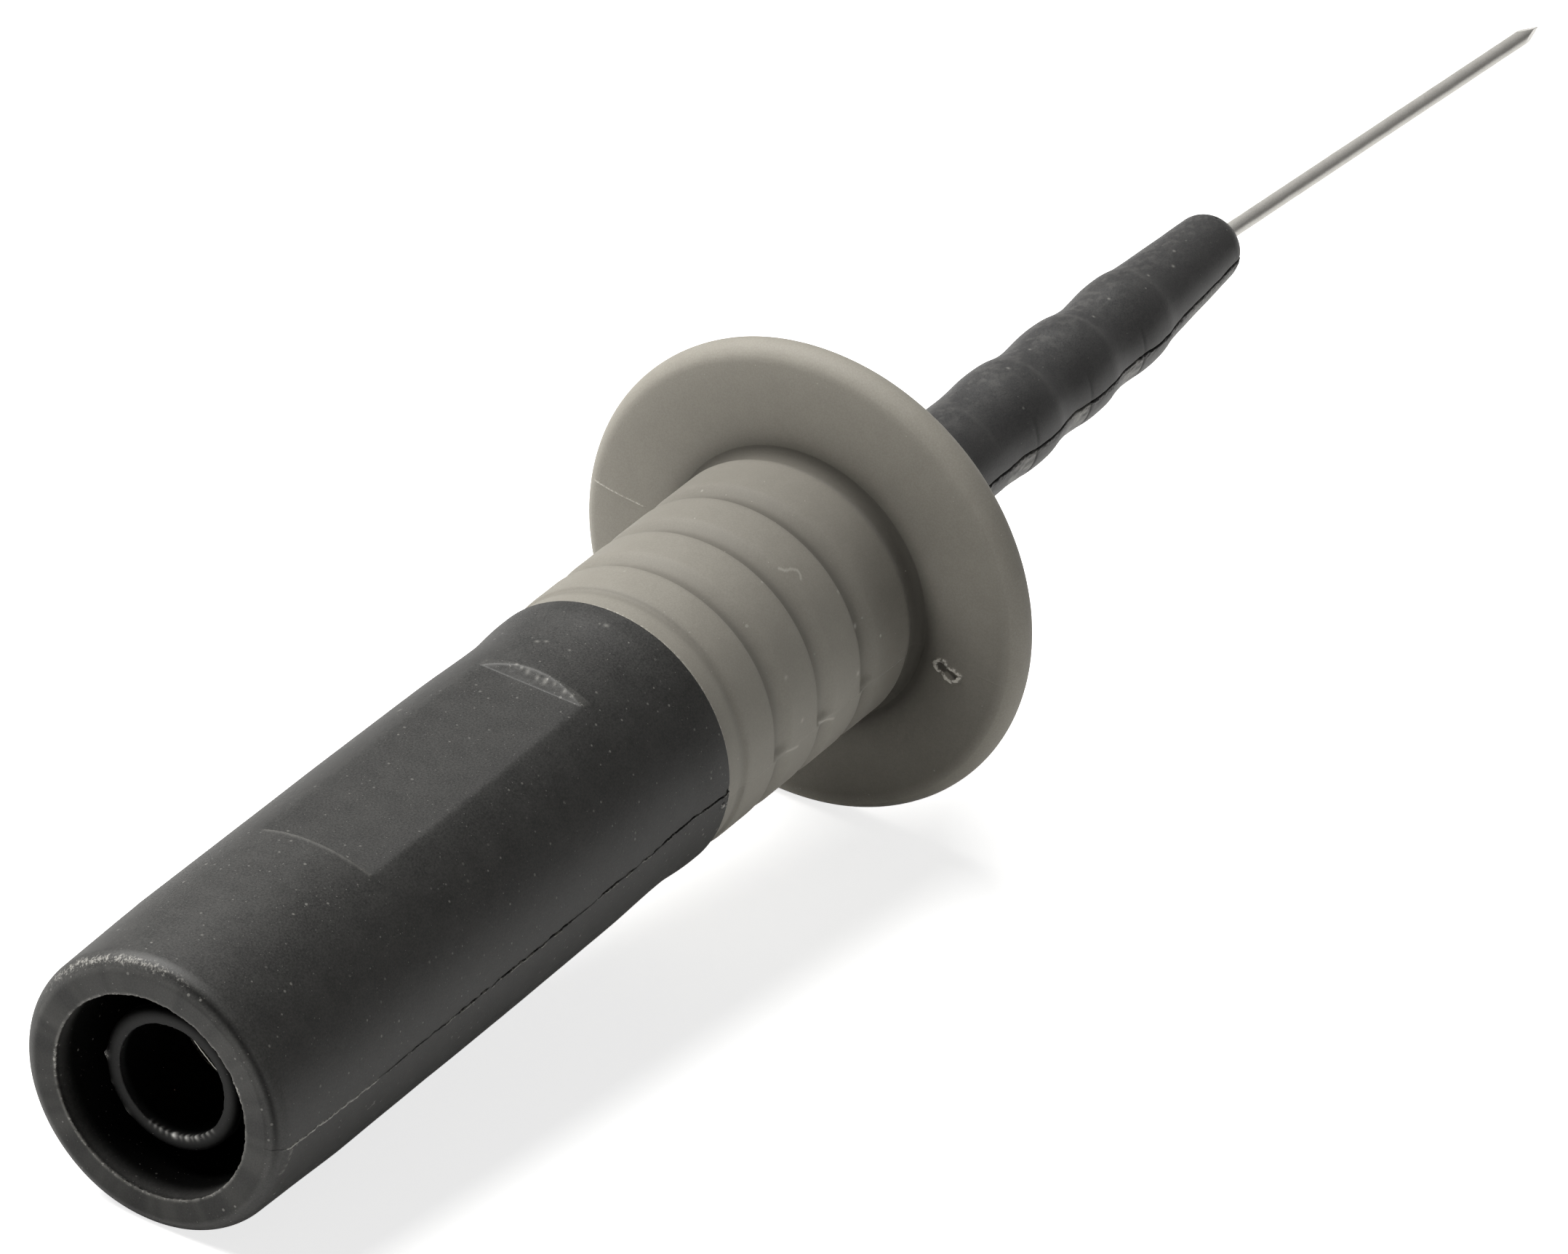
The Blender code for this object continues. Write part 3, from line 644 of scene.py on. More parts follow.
# %% [markdown]
# ** Marks on the guard.** The sleeve has a hair scratch and specks. Painted shade deepens on its top and towards the disc, and painted light makes its lower side paler. The corner at the disc lies in painted shade, and a painted shadow of the sleeve darkens the disc at its lower side. Ambient occlusion could darken the corner, but a mark can be set as deep as in the photograph.

# %% Guard marks
hair_scratch = [(42.3, -3.2), (42.45, -3.45), (42.8, -3.55), (43.05, -3.75), (43.0, -4.0), (42.85, -4.15)]
ring_ends = [[(41.33, -10.54), (41.9, -10.75), (42.57, -10.98)], [(38.72, -10.67), (39.6, -10.84)]]
sleeve_specks = [(44.41, -49.9, 0.07), (44.86, -66.8, 0.09), (44.2, -84.3, 0.1), (39.0, -63.9, 0.08),
                 (39.67, -85.2, 0.09)]
sleeve_shade_steps = [(36, 0.18), (40, 0.27), (43.5, 0.37), (47, 0.5), (49, 0.5)]


def guard_marks(x, r, deg):
    """Unevenness, scratches, specks, painted shade on the sleeve and beside the disc, a painted shadow on the
    disc and a painted lighter lower side.
    """
    sleeve, disc = on_sleeve(x, r), on_disc(x, r)
    height = 0.008 * lumps(x, deg, 2.3, 16, 61) + 0.003 * lumps(x, deg, 0.7, 60, 62)
    around = round_gap(deg, 0, sleeve_radius)
    bloom_and_highlight = 0.35 * stroke(x, around, hair_scratch, 0.09, 0.07) + 0.75 * dots(x, deg, 6.4, sleeve_specks)
    bloom_and_highlight += 0.5 * sum(stroke(x, around, path, 0.12, 0.1) for path in ring_ends)
    # Painted light makes the sleeve's lower side paler.
    bloom_and_highlight += 0.13 * facing(deg, -82, 34) * ramp(47.5 - x, 0, 4)
    # Painted shade deepens on the sleeve's top and towards the disc and darkens the disc near the neck. A
    # painted shadow of the sleeve darkens the disc's lower side.
    painted_sleeve_shade = stepped(x, sleeve_shade_steps) * np.maximum(ramp(deg, -78, -25), ramp(x, 42, 48))
    corner = bell(np.hypot(x - face + 0.05, r - neck_radius - 0.2), 0.66)
    sleeve_shadow_on_disc = facing(deg, -137, 58, 6) * ramp(10.9 - r, 0, 0.7)
    shade_and_grime = sleeve * painted_sleeve_shade + (0.38 + 0.17 * facing(deg, -75, 60)) * corner
    shade_and_grime += disc * (0.08 + 0.25 * bell(r - neck_radius - 0.2, 1.5) + 0.42 * sleeve_shadow_on_disc)
    wear_and_glint = 0.4 * bell(np.hypot(x - sleeve_rear - 0.05, r - band_radius), 0.1)
    return height, wear_and_glint, shade_and_grime, sleeve * bloom_and_highlight


guard_angles = turn_angles(600, [(guard_seam_deg, 1.6, 6), (far_seam_deg, 1.2, 6), (digit_deg, 6, 3)])
guard_reliefs = (guard_marks, guard_rings, guard_seams, guard_digit)
guard = skin("guard_skin", guard_outline, guard_angles, guard_reliefs)
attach(guard, "root")
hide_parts("guard_sleeve")

# %% [markdown]
# ## The wavy nose
#
# The nose is soft black rubber. Three waves let it bend, and a plain cone with a round end holds
# the needle. The waves are lopsided, so a sine wouldn't do: a table gives the height along one
# wave, and averaging it over a few shifts rounds its corners.

# %% Nose outline
wave_steps = [(0, 0), (0.12, 0.025), (0.25, 0.09), (0.4, 0.175), (0.55, 0.2), (0.7, 0.18), (0.85, 0.052)]
wave_line = [(first_valley + (number + share) * wave_pitch, rise)
             for number in range(wave_count) for share, rise in wave_steps] + [(last_valley, 0)]
wave_blur = np.linspace(-0.25, 0.25, 5)


def nose_radius(x):
    """Radius of the nose along its waves and cone."""
    base = nose_valley_radius - nose_taper * (np.minimum(x, last_valley) - first_valley)
    base = base - tip_taper * np.maximum(0, x - last_valley)
    return base + sum(stepped(x + shift, wave_line) for shift in wave_blur) / len(wave_blur)


dome_radius = float(nose_radius(dome_rear))
hole_radius = needle_radius + 0.05
nose_outline = [(nose_tail_rear, spigot_radius), (nose_flange_front, spigot_radius),
                (nose_flange_front, nose_root_radius)]
nose_outline += soft_step(nose_root_front, nose_root_radius,
                          nose_root_end, float(nose_radius(nose_root_end)), 24)
nose_outline += [(x, float(nose_radius(x))) for x in np.arange(nose_root_end + 0.1, dome_rear, 0.08)]
nose_outline += arc(dome_rear, hole_radius, tip_dome_length, dome_radius - hole_radius, 90, 0, 26)
nose_outline = divided(nose_outline, 0.25, 0.05, [(62, 87)])
nose_outline += [(nose_bore_front, hole_radius), (nose_bore_front, nose_bore_radius),
                 (nose_tail_rear, nose_bore_radius)]
print("nose outline:", len(nose_outline), "points")

# %% [markdown]
# **A badly closed mould.** The nose's lower half stands about a tenth of a millimetre further out
# at the seam, with a ragged edge, and each crest carries a crease that ends in a notch. Two meshes
# could be joined here, but one skin with a raised half stays closed.

# %% Nose seam and creases
crease_start, crease_pitch = 65.85, 5.0


def on_nose(x, r):
    """The nose's outer side in front of the guard."""
    return (x > nose_root_front) & (r > hole_radius + 0.02)


def nose_halves(x, r, deg):
    """Distance in mm from the wandering seam, and 1 on the lower half beside it."""
    wander = 0.05 * ripple(x, 1.1, 71) + 0.02 * ripple(x, 0.3, 72)
    line = round_gap(deg, seam_deg, np.maximum(r, 0.3)) - wander
    return line, ramp(-line, 0.0, 0.05) * ramp(turn_gap(deg, seam_deg), -150, -95)


def crease_places(x):
    """The crest nearest to each x, where the two halves of the mould left a crease."""
    number = np.clip(np.round((x - crease_start) / crease_pitch), 0, wave_count - 1)
    return crease_start + number * crease_pitch


def nose_mould(x, r, deg):
    """The raised lower half, more so on the waves, with its torn seam, creases and notches, all darkened with
    painted shade.
    """
    line, low = nose_halves(x, r, deg)
    share = ((x - first_valley) / wave_pitch) % 1
    long_lobe = ramp(share, 0.27, 0.45) * (1 - ramp(share, 0.94, 1.0))
    short_lobe = ramp(share, 0.0, 0.08) * (1 - ramp(share, 0.2, 0.27))
    lobes = np.where((x > 60) & (x < last_valley + 2), long_lobe + 0.6 * short_lobe, 0.4)
    offset = 0.05 + 0.075 * lobes + 0.02 * ripple(x, 0.3, 75)
    rough = 0.03 * low * bell(line + 0.16, 0.16) * lumps(x, deg, 0.12, 180, 76)
    ahead = x - crease_places(x)
    crease = bell(ahead, 0.12) * facing(deg, seam_deg + 15, 17) * (turn_gap(deg, seam_deg) > -40)
    joint = bell(ahead - 0.05, 0.07) * low
    height = low * offset * facing(deg, seam_deg - 92, 34) - 0.12 * bell(line, 0.055)
    height += rough - 0.02 * crease - 0.05 * joint
    # The seam, the creases and the notches are darkened with painted shade.
    return masked(on_nose(x, r), height, 0, bell(line, 0.07) + 0.4 * crease + 0.6 * joint, 0)


# %% [markdown]
# ** Marks on the nose.** Handled rubber turns chalky: the lower half is pale, most on the rear slopes of the waves. Light arcs in the valleys and faint streaks over the top are painted highlights, and a band of painted shade runs along the side. One dust texture could do it, but it would ignore the waves.

# %% Nose marks
arc_start = 68.05
pit_place, pit_deg = 85.9, -6
nose_specks = [(81.65, -7.9, 0.07), (80.62, -23.9, 0.08), (78.8, -13.2, 0.07), (75.74, -3.8, 0.06),
               (73.99, -9.2, 0.06), (67.16, 2.0, 0.07), (69.57, 9.2, 0.06)]


def nose_marks(x, r, deg):
    """Unevenness, chalky lower half, painted highlight arcs in the valleys and streaks on top, a band of
    painted shade, specks and the pit with painted shade.
    """
    shown, low = on_nose(x, r), nose_halves(x, r, deg)[1]
    height = 0.008 * lumps(x, deg, 1.7, 9, 73) + 0.003 * lumps(x, deg, 0.5, 30, 74)
    pit = bell(x - pit_place, 0.09) * bell(round_gap(deg, pit_deg, np.maximum(r, 0.3)), 0.09)
    behind = crease_places(x) - x
    rear_slope = ramp(behind, -0.1, 0.15) * ramp(2.3 - behind, 0, 0.6)
    on_cone = ramp(x, last_valley, last_valley + 1)
    mottle = 0.5 + 0.5 * lumps(x, deg, 0.4, 70, 77) + 0.25 * lumps(x, deg, 0.15, 160, 78)
    pale = low * facing(deg, seam_deg - 12, 26) * mottle
    bloom_and_highlight = pale * (0.11 + 0.58 * np.maximum(rear_slope, 0.45 * on_cone))
    arc_gap = (x - arc_start + wave_pitch / 2) % wave_pitch - wave_pitch / 2
    arc_highlight = bell(arc_gap, 0.17) * facing(deg, -12, 42) * (x > 62) * (x < last_valley + 1)
    streak_highlights = ramp(lumps(x, deg, 0.3, 60, 79) + 0.4 * lumps(x, deg, 0.12, 150, 80), -0.2, 0.9)
    # The light arcs and the streaks over the top are painted highlights.
    bloom_and_highlight += 0.045 * arc_highlight + 0.09 * streak_highlights * facing(deg, 20, 32) + 0.5 * dots(x, deg, 2.4, nose_specks)
    # A band of painted shade runs along the side at -32 degrees, and the pit is darkened with painted shade.
    return height - 0.06 * pit, 0, shown * 0.2 * facing(deg, -32, 26) + pit, shown * bloom_and_highlight


# %% [markdown]
# **The bent line.** The nose leans one way and the needle the other. A Curve modifier could bend
# them, but a sideways shift of the finished points keeps both where the CAD solids are.

# %% Bent centre line
def bent(points):
    """Moves points sideways with the bent centre line."""
    def soft_ramp(distance, half):
        inside = (distance + half) ** 2 / (4 * half)
        return np.where(distance <= -half, 0, np.where(distance >= half, distance, inside))
    x = points[..., 0]
    nose_slope = math.tan(math.radians(nose_lean_deg))
    needle_slope = math.tan(math.radians(needle_lean_deg))
    shift = (nose_slope * soft_ramp(x - nose_bend_place, nose_bend_half)
             - (nose_slope + needle_slope) * soft_ramp(x - mouth, needle_bend_half))
    direction = math.radians(lean_direction_deg)
    return points + shift[..., None] * np.array([0, math.cos(direction), math.sin(direction)])


nose_angles = turn_angles(300, [(seam_deg, 4, 8), (-105, 14, 1.5)])
nose = skin("nose_skin", nose_outline, nose_angles, (nose_marks, nose_mould), bent)
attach(nose, "root")
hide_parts("nose_sleeve")

# %% [markdown]
# ## The needle
#
# The needle is drawn steel wire with a point that is ground on three flats. It could be a
# cylinder cut by three planes, but the radius at any turn is simply the smaller of the wire's
# radius and the distance to the nearest flat. Faces close both ends of the grid.

# %% Needle
needle_rear, fine_from = 78.0, 112.6
flat_turns = (142.0, 262.0, 22.0)


def needle_mesh():
    """The needle from inside the nose to its tip, along the bent centre line."""
    x = np.concatenate([np.arange(needle_rear, fine_from, 0.2), np.arange(fine_from, needle_tip, 0.04),
                        [needle_tip - 0.004]])
    x, deg = np.meshgrid(x, turn_angles(72), indexing="ij")
    room = (needle_tip - x) * math.tan(math.radians(needle_point_deg))
    radius = needle_radius
    for flat_turn in flat_turns:
        away = np.cos(np.radians(turn_gap(deg, flat_turn)))
        radius = np.minimum(radius, np.where(away > 0.05, room / np.maximum(away, 0.05), 9.0))
    radius = radius + 0.003 * lumps(x, deg, 0.9, 8, 81) + 0.0015 * lumps(x, deg, 0.25, 14, 82)
    radius = np.maximum(radius, 0.001)
    ground = ramp(needle_radius * 0.995 - radius, 0, 0.01)
    points = bent(round_points(x, radius, deg))
    piece = mesh_from_grid("needle_skin", points, {"wear_and_glint": ground}, closed=False)
    bm = bmesh.new()
    bm.from_mesh(piece.data)
    open_edges = [edge for edge in bm.edges if edge.is_boundary]
    bmesh.ops.holes_fill(bm, edges=open_edges)
    bmesh.ops.recalc_face_normals(bm, faces=bm.faces)
    bm.to_mesh(piece.data)
    bm.free()
    return piece


needle = needle_mesh()
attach(needle, "root")
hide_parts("needle")

# %% [markdown]
# ## The safety socket
#
# Inside the shroud stands a thinner black tube. It keeps fingers off the metal contact, which sits deep in it
# and isn't seen. The ragged lip of its hole carries beads of painted white highlight, and painted shade
# darkens the hole inwards and the tube's outer side. The beads could be tiny spheres, but as bumps of the lip
# they stay one piece with it.

# %% Socket tube
tube_outline = [(6.5, tube_hole), (tube_rear + 0.05, tube_hole)]
tube_outline += arc(tube_rear + 0.05, tube_hole + 0.05, 0.05, 0.05, 270, 180, 4)
tube_outline += arc(tube_rear + 0.2, tube_radius - 0.2, 0.2, 0.2, 180, 90, 8)
tube_outline = divided(tube_outline + [(8.0, tube_radius)], 0.12, 0.05, [(tube_rear, tube_rear + 0.4)])
tube_outline += [(25.3, tube_radius), (25.3, 3.8), (31.3, 3.8), (31.3, 3.0), (26.95, 3.0),
                 (26.95, tube_hole)]
tube_burrs = [(92, 3.5, 1), (140, 3.5, 0.6), (115, 2, 0.3)]
lip_sides = [(70, 40, 0.3), (-150, 30, 0.25)]
lip_highlight_beads = [(-173, 1.0), (-159.5, 0.75), (-148, 0.65), (-133.5, 0.4), (172, 0.4), (166, 0.3),
             (-126.5, 0.3), (-166, 0.35), (-153.5, 0.3), (-140.5, 0.3), (178.5, 0.35), (160, 0.2)]


def tube_relief(x, r, deg):
    """Ragged lip round the hole with painted highlight beads, burrs on the outer edge, unevenness and painted
    shade.
    """
    from_lip = np.hypot(x - tube_rear, r - tube_hole)
    lip, on_lip = bell(from_lip, 0.1), bell(from_lip, 0.14)
    burr = bell(np.hypot(x - tube_rear - 0.05, r - tube_radius + 0.05), 0.14) * patches(deg, tube_burrs)
    bead = sum(size * bell(round_gap(deg, place, tube_hole), 0.035 + 0.09 * size)
               for place, size in lip_highlight_beads)
    height = 0.006 * lumps(x, deg, 1.3, 9, 91) + 0.06 * on_lip * bead
    height += lip * (0.02 * edge_lumps(x, deg, 120, 92) + 0.012 * edge_lumps(x, deg, 260, 93))
    height += burr * (0.1 + 0.07 * edge_lumps(x, deg, 140, 94))
    faint = ramp(edge_lumps(x, deg, 200, 95) + 0.4 * edge_lumps(x, deg, 420, 96), 0.0, 0.7)
    # Painted shade darkens the hole inwards, the tube's outer side and the outer part of its end face.
    inside = (r < tube_hole + 0.03) * ramp(x, tube_rear + 0.12, tube_rear + 0.6)
    beside = (r > tube_radius - 0.05) * ramp(x, tube_rear + 0.2, tube_rear + 0.7)
    outer_rim = (x < tube_rear + 0.3) * 0.9 * ramp(r, tube_radius - 0.6, tube_radius - 0.05)
    wear_and_glint = lip * faint * patches(deg, lip_sides) + 0.4 * burr
    # The beads of the lip are painted white highlights.
    return height, wear_and_glint, inside + beside + outer_rim, 0.95 * on_lip * bead + 0.12 * burr


tube = skin("socket_tube_skin", tube_outline, turn_angles(360, [(-168, 16, 4)]), [tube_relief])
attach(tube, "root")
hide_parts("socket_insulator")

# %% [markdown]
# **A flap of flash** hangs in the tube's hole, a sliver of plastic so thin that it looks white. It
# could be relief of the tube, but a height along the normal can't fold back, so it is a closed
# strip of its own.

# %% Flash in the tube's hole
flap_middle, flap_half, flap_reach = -38.5, 18.5, 0.17
flap_deg = np.linspace(flap_middle + flap_half, flap_middle - flap_half, 40)[:, None]
share = (flap_deg - flap_middle) / flap_half
flap_radius = tube_hole + 0.02 - flap_reach * (1 - share ** 2) + 0.012 * ripple(flap_deg, 3.0, 97)
corners = np.array([(0.03, -0.018), (0.08, -0.018), (0.08, 0.018), (0.03, 0.018)])
flap_points = round_points(tube_rear + corners[:, 0], flap_radius + corners[:, 1], flap_deg)
worn = {"wear_and_glint": np.full(flap_points.shape[:2], 0.85)}
flash = mesh_from_grid("tube_flash", flap_points, worn, closed=False)
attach(flash, "root")

# %% [markdown]
# ## Materials
#
# All finishes here are matt or satin, and what makes them real is small: grain, dust, rubbed edges
# and uneven colour. Image textures could hold that, but they blur close up. Each effect is a node
# group instead, built once, that gives masks and heights. The Principled shader stays in the
# material.

# %% Node tools
def feed(socket, value):
    """Sets an input to a number or a colour, or links it to an output."""
    if isinstance(value, bpy.types.NodeSocket):
        socket.id_data.links.new(value, socket)
    else:
        socket.default_value = (*value, 1) if isinstance(value, tuple) else value


def new_group(name, inputs, outputs):
    """An empty node group; its inputs are floats with a first value, or vectors without one."""
    group = bpy.data.node_groups.new(name, "ShaderNodeTree")
    for label, value in inputs.items():
        kind = "NodeSocketVector" if value is None else "NodeSocketFloat"
        socket = group.interface.new_socket(label, in_out="INPUT", socket_type=kind)
        if value is not None:
            socket.default_value = value
    for label in outputs:
        group.interface.new_socket(label, in_out="OUTPUT", socket_type="NodeSocketFloat")
    print("group:", name)
    return group, group.nodes.new("NodeGroupInput").outputs, group.nodes.new("NodeGroupOutput").inputs


def add_node(tree, kind, inputs, output=0, **settings):
    """A shader node set up first, as settings decide its inputs, then fed; gives one output."""
    node = tree.nodes.new("ShaderNode" + kind)
    for name, value in settings.items():
        setattr(node, name, value)
    for label, value in inputs.items():
        feed(node.inputs[label], value)
    return node.outputs[output]


def maths(tree, operation, a, b, clamp=False):
    """One Math node; a and b are outputs or numbers."""
    return add_node(tree, "Math", {0: a, 1: b}, operation=operation, use_clamp=clamp)


def scaled(tree, vector, scale):
    """A place multiplied by scale, so that a texture repeats that much faster."""
    return add_node(tree, "VectorMath", {0: vector, "Scale": scale}, operation="SCALE")


def noise(tree, vector, scale, detail, rough):
    """A Noise texture's value."""
    inputs = {"Vector": vector, "Scale": scale, "Detail": detail, "Roughness": rough}
    return add_node(tree, "TexNoise", inputs, "Fac")


def between(tree, value, low, high, out_low=0.0, out_high=1.0):
    """A Map Range node that is smooth and clamped."""
    inputs = dict(enumerate((value, low, high, out_low, out_high)))
    return add_node(tree, "MapRange", inputs, interpolation_type="SMOOTHSTEP")


# %% [markdown]
# **Mould grain** is the fine pebbled texture of a spark-eroded mould. One noise could give a bump,
# but two sizes look more real. A tone makes the colour slightly uneven too.

# %% Mould grain group
grain_group, given, result = new_group(
    "Mould grain", {"Place": None, "Fineness": 1.0, "Coarse share": 0.4}, ["Height", "Tone"])
place = scaled(grain_group, given["Place"], given["Fineness"])
pebbles = noise(grain_group, place, 7.0, 3.0, 0.6)
swells = noise(grain_group, place, 1.3, 2.0, 0.5)
mixed = maths(grain_group, "MULTIPLY", swells, given["Coarse share"])
feed(result["Height"], maths(grain_group, "ADD", pebbles, mixed))
fine_tone = noise(grain_group, place, 11.0, 4.0, 0.75)
clouds = noise(grain_group, place, 0.8, 3.0, 0.6)
feed(result["Tone"], maths(grain_group, "ADD", maths(grain_group, "MULTIPLY", fine_tone, 0.8),
                           maths(grain_group, "MULTIPLY", clouds, 0.2)))

# %% [markdown]
# **Dust** is a scatter of pale specks. A sharpened noise would make them all alike. Here each cell
# of a Voronoi texture has random values that decide whether it carries a speck, how big and how
# pale.

# %% Dust group
dust_group, given, result = new_group(
    "Dust", {"Place": None, "Specks per mm": 2.0, "Share": 0.1, "Size": 0.2}, ["Mask"])
place = scaled(dust_group, given["Place"], given["Specks per mm"])
distance = add_node(dust_group, "TexVoronoi", {"Scale": 1.0, "Vector": place}, "Distance")
cell_colour = distance.node.outputs["Color"]
chance, bigness, paleness = add_node(dust_group, "SeparateColor", {0: cell_colour}).node.outputs
kept = maths(dust_group, "LESS_THAN", chance, given["Share"])
reach = maths(dust_group, "MULTIPLY", given["Size"], maths(dust_group, "ADD", bigness, 0.35))
inner = maths(dust_group, "MULTIPLY", reach, 0.5)
spot = between(dust_group, distance, inner, reach, 1.0, 0.0)
strength = maths(dust_group, "MULTIPLY", kept, maths(dust_group, "ADD", paleness, 0.25))
feed(result["Mask"], maths(dust_group, "MULTIPLY", spot, strength, clamp=True))

# %% [markdown]
# ** Rubbed edges** breaks up the mark of worn edges and painted glints, so that an edge looks torn and not painted. A pointiness value could find edges by itself, but the mesh knows which ones are worn.

# %% Rubbed edges group
edge_group, given, result = new_group("Rubbed edges and glints", {"Mark": 0.0, "Place": None, "Break up": 0.5}, ["Mask"])
bits = noise(edge_group, given["Place"], 9.0, 4.0, 0.7)
threshold = maths(edge_group, "MULTIPLY", between(edge_group, bits, 0.3, 0.7), given["Break up"])
left = maths(edge_group, "SUBTRACT", given["Mark"], threshold)
feed(result["Mask"], between(edge_group, left, 0.0, 0.45))

# %% [markdown]
# ** One recipe for every finish.** Each material could be wired by hand, but plastic, rubber and metal differ only in values: the grain's tone mixes two colours, painted shade darkens them, and dust, rubbed edges with painted glints, and pale marks with painted highlights lie on top.

# %% Material maker
deepest_shade, darkest_specular = 0.92, 0.04
fine_dust_scale, fine_dust_share = 2.7, 0.7
dust_height, edge_break_up, sheen_roughness = 0.8, 0.5, 0.55


def use_group(tree, group, **values):
    """A group node with its inputs set; underscores in a name stand for spaces."""
    node = tree.nodes.new("ShaderNodeGroup")
    node.node_tree = group
    for label, value in values.items():
        feed(node.inputs[label.replace("_", " ")], value)
    return node.outputs


def blended(tree, factor, a, b):
    """A Mix node between two colours."""
    return add_node(tree, "Mix", {"Factor": factor, "A": a, "B": b}, "Result", data_type="RGBA")


def mark(tree, name):
    """A value that the mesh carries at its points; 0 on a mesh without it."""
    return add_node(tree, "Attribute", {}, "Fac", attribute_name=name)


def object_place(tree):
    """The place on the object in millimetres."""
    return scaled(tree, add_node(tree, "TexCoord", {}, "Object"), 1 / MM)


def moulded(name, dark, light, worn, rough, grain, dust, sheen=0.0, metallic=0.0, specular=0.5,
            shade_share=0.25):
    """A moulded or metal finish from the three groups.

    rough is (low, high), grain (fineness, coarse share, depth in mm) and dust (specks per mm,
    share, size, strength). shade_share is how much of the dark colour is left in full shade.
    """
    finish = bpy.data.materials.new(name)
    finish.use_nodes = True
    tree = finish.node_tree
    shader = tree.nodes["Principled BSDF"].inputs
    feed(shader["Metallic"], metallic)
    if sheen:
        feed(shader["Sheen Weight"], sheen)
        feed(shader["Sheen Roughness"], sheen_roughness)
    fineness, coarse_share, depth = grain
    per_mm, share, size, strength = dust
    place = object_place(tree)
    texture = use_group(tree, grain_group, Place=place, Fineness=fineness, Coarse_share=coarse_share)
    specks = use_group(tree, dust_group, Place=place, Specks_per_mm=per_mm, Share=share, Size=size)
    more = use_group(tree, dust_group, Place=place, Specks_per_mm=per_mm * fine_dust_scale,
                     Share=share * fine_dust_share, Size=size)
    edges = use_group(tree, edge_group, Mark=mark(tree, "wear_and_glint"), Place=place, Break_up=edge_break_up)
    colour = blended(tree, between(tree, texture["Tone"], 0.35, 0.65), dark, light)
    shade = maths(tree, "MULTIPLY", mark(tree, "shade_and_grime"), deepest_shade, clamp=True)
    colour = blended(tree, shade, colour, tuple(shade_share * c for c in dark))
    feed(shader["Specular IOR Level"], between(tree, shade, 0.0, 1.0, specular, darkest_specular))
    dusty = maths(tree, "MULTIPLY", maths(tree, "ADD", specks[0], more[0]), strength, clamp=True)
    # Dust, worn edges with painted glints, pale marks and painted highlights turn the colour towards the worn
    # colour.
    for pale in (dusty, edges[0], mark(tree, "bloom_and_highlight")):
        colour = blended(tree, pale, colour, worn)
    feed(shader["Base Color"], colour)
    feed(shader["Roughness"], between(tree, texture["Tone"], 0.25, 0.75, *rough))
    raised = maths(tree, "ADD", texture["Height"], maths(tree, "MULTIPLY", dusty, dust_height))
    bump = {"Strength": 1.0, "Distance": depth * MM, "Height": raised}
    feed(shader["Normal"], add_node(tree, "Bump", bump))
    print("material:", name)
    return finish


# %% [markdown]
# The handle is hard matt plastic and the tube a little smoother. The guard is warm grey elastomer, the nose
# black rubber with a faint sheen, and the needle dulled steel. Plain colours could stand for them, but a torn
# edge of filled plastic turns whitish, so each finish has a pale worn colour, which also serves the painted
# highlights and glints.

# %% Finishes of the skins
polished_grain, little_dust = (1.6, 0.6, 0.003), (3.0, 0.1, 0.1, 0.2)
finishes = (
    (handle, moulded("handle black plastic", (0.031, 0.031, 0.03), (0.066, 0.065, 0.062), (0.44, 0.43, 0.4),
                     (0.46, 0.62), (1.0, 0.4, 0.009), (2.1, 0.8, 0.14, 0.38), shade_share=0.06)),
    # The socket's near-white worn colour also paints the highlight beads on its lip.
    (tube, moulded("socket black plastic", (0.012, 0.012, 0.012), (0.022, 0.022, 0.022), (0.95, 0.94, 0.9),
                   (0.5, 0.64), (1.3, 0.4, 0.006), (2.4, 0.1, 0.1, 0.3), specular=0.3, shade_share=0.06)),
    (guard, moulded("guard grey elastomer", (0.3, 0.282, 0.243), (0.355, 0.336, 0.292), (0.62, 0.6, 0.54),
                    (0.6, 0.76), (1.1, 0.5, 0.006), (1.3, 0.2, 0.1, 0.55), sheen=0.08)),
    (nose, moulded("nose black rubber", (0.029, 0.029, 0.03), (0.062, 0.061, 0.06), (0.42, 0.41, 0.38),
                   (0.42, 0.58), (1.2, 0.4, 0.009), (1.8, 0.25, 0.12, 0.4), sheen=0.1, specular=0.55)),
    (needle, moulded("needle steel", (0.68, 0.66, 0.62), (0.84, 0.82, 0.78), (0.9, 0.88, 0.84),
                     (0.3, 0.44), polished_grain, little_dust, metallic=0.55)),
    (flash, moulded("tube flash", (0.5, 0.5, 0.44), (0.6, 0.6, 0.54), (0.7, 0.7, 0.62),
                    (0.4, 0.6), polished_grain, little_dust)),
)
for piece, finish in finishes:
    piece.data.materials.append(finish)

# %% [markdown]
# Five pieces are hidden inside: contact, spacer, copper strand, its jacket and a tinned ferrule.
# Finer skins could be made, but nobody would see them, so the CAD solids only get a finish.

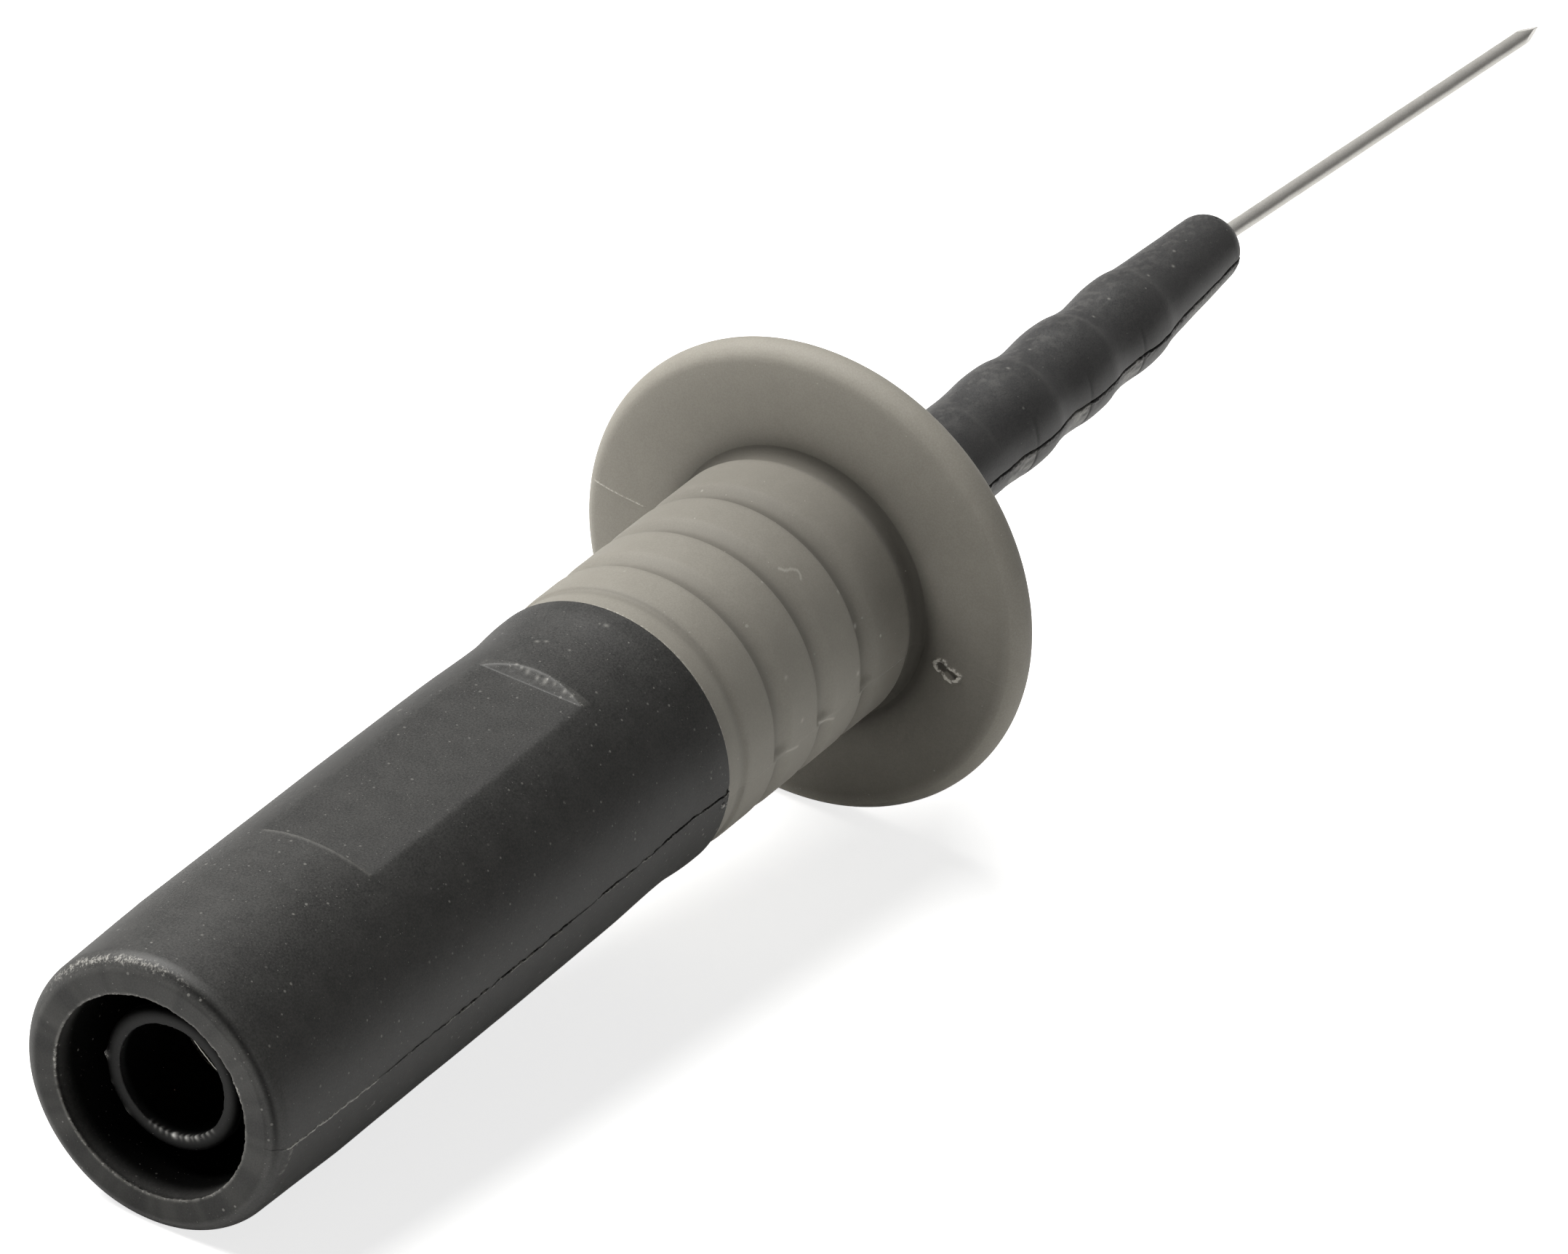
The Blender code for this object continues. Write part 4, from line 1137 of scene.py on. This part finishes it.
# %% Finishes of the hidden pieces
hidden_dust = (2.0, 0.05, 0.2, 0.2)
hidden_finishes = {
    "socket_contact": moulded("contact nickel", (0.55, 0.52, 0.46), (0.72, 0.69, 0.63), (0.8, 0.78, 0.74),
                              (0.25, 0.42), (1.2, 0.4, 0.004), hidden_dust, metallic=1.0),
    "spacer_tube": moulded("spacer natural nylon", (0.55, 0.53, 0.47), (0.64, 0.62, 0.56), (0.75, 0.74, 0.7),
                           (0.4, 0.55), (1.0, 0.4, 0.006), hidden_dust),
    "lead_strand": moulded("strand copper", (0.6, 0.32, 0.2), (0.75, 0.45, 0.3), (0.8, 0.55, 0.4),
                           (0.3, 0.5), (2.0, 0.4, 0.006), hidden_dust, metallic=1.0),
    "lead_jacket": moulded("lead jacket black", (0.024, 0.024, 0.024), (0.04, 0.04, 0.04), (0.4, 0.4, 0.38),
                           (0.45, 0.6), (1.4, 0.4, 0.006), hidden_dust),
    "needle_ferrule": moulded("ferrule tinned", (0.55, 0.55, 0.53), (0.72, 0.72, 0.7), (0.8, 0.8, 0.78),
                              (0.3, 0.46), (1.4, 0.4, 0.005), hidden_dust, metallic=1.0),
}
for name, finish in hidden_finishes.items():
    for holder in nodes[name].material_slots:
        holder.material = finish
print("finished", len(hidden_finishes), "hidden pieces")

# %% [markdown]
# ## Floor
#
# The photograph is a cut-out on white, so the floor is plain pale paper. A probe with a disc rests
# on its rear rim and on the disc's edge, so the paper is tilted to touch both. A strong lamp could
# make it white but would light the black parts too, so the paper glows, mostly for the camera
# alone.

# %% Floor
backdrop_glow, room_light = 0.72, 0.05
floor_half = 2500
touch_gap = 0.06
rim_low = Vector((0.35, 0, -(grip_radius - rim_draft - 0.2)))
disc_low = Vector(((disc_rear + disc_front) / 2, 0, -disc_radius))
downhill = (disc_low - rim_low).normalized()
floor_up = Vector((-downhill.z, 0, downhill.x))
floor_side = Vector((0, 1, 0))
below_middle = Vector((55, 0, 0)) - rim_low
middle = rim_low + downhill * below_middle.dot(downhill) - floor_up * touch_gap
corners = [(middle + downhill * floor_half * a + floor_side * floor_half * b) * MM
           for a, b in ((-1, -1), (1, -1), (1, 1), (-1, 1))]
floor_data = bpy.data.meshes.new("floor")
floor_data.from_pydata(corners, [], [(0, 1, 2, 3)])
floor = bpy.data.objects.new("floor", floor_data)
bpy.context.scene.collection.objects.link(floor)
print("floor slope", round(math.degrees(math.asin(-downhill.z)), 2), "degrees")


# %% Paper
def glow(tree, for_camera):
    """The room's light, and for_camera more of it where the camera looks."""
    seen = add_node(tree, "LightPath", {}, "Is Camera Ray")
    return maths(tree, "ADD", maths(tree, "MULTIPLY", seen, for_camera), room_light)


paper = bpy.data.materials.new("pale floor")
paper.use_nodes = True
tree = paper.node_tree
shader = tree.nodes["Principled BSDF"].inputs
tone = noise(tree, object_place(tree), 0.4, 3.0, 0.55)
feed(shader["Base Color"], blended(tree, tone, (0.9, 0.9, 0.895), (0.93, 0.93, 0.925)))
feed(shader["Roughness"], 0.9)
feed(shader["Emission Color"], (1, 1, 1))
feed(shader["Emission Strength"], glow(tree, backdrop_glow))
floor_data.materials.append(paper)
print("material:", paper.name)

# %% [markdown]
# ## Light
#
# One large round lamp stands behind and above the probe, so that rings and waves are shaded on the
# camera's side, and the room adds a faint even light. A second lamp could lift the handle but
# would flatten the sleeve. For the camera the room is as bright as the paper, so no horizon shows.

# %% Lights
paper_white = 0.92
lamp = bpy.data.lights.new("key_light", "AREA")
lamp.shape = "DISK"
lamp.size = 0.7
lamp.energy = 10.5
lamp.color = (1.0, 0.99, 0.97)
target = Vector((0.045, 0, 0))
toward_lamp = Vector((-0.05, 0.65, 1.0)).normalized()
holder = bpy.data.objects.new("key_light", lamp)
holder.location = target + toward_lamp * 0.8
holder.rotation_euler = (-toward_lamp).to_track_quat("-Z", "Y").to_euler()
bpy.context.scene.collection.objects.link(holder)

world = bpy.data.worlds.new("studio")
bpy.context.scene.world = world
world.use_nodes = True
background = world.node_tree.nodes["Background"].inputs
feed(background["Color"], (1, 1, 1))
feed(background["Strength"], glow(world.node_tree, backdrop_glow + paper_white * room_light))
bpy.context.scene.view_settings.view_transform = "Standard"
bpy.context.scene.view_settings.look = "None"
print("lamp of", lamp.energy, "W at", [round(v, 3) for v in holder.location])
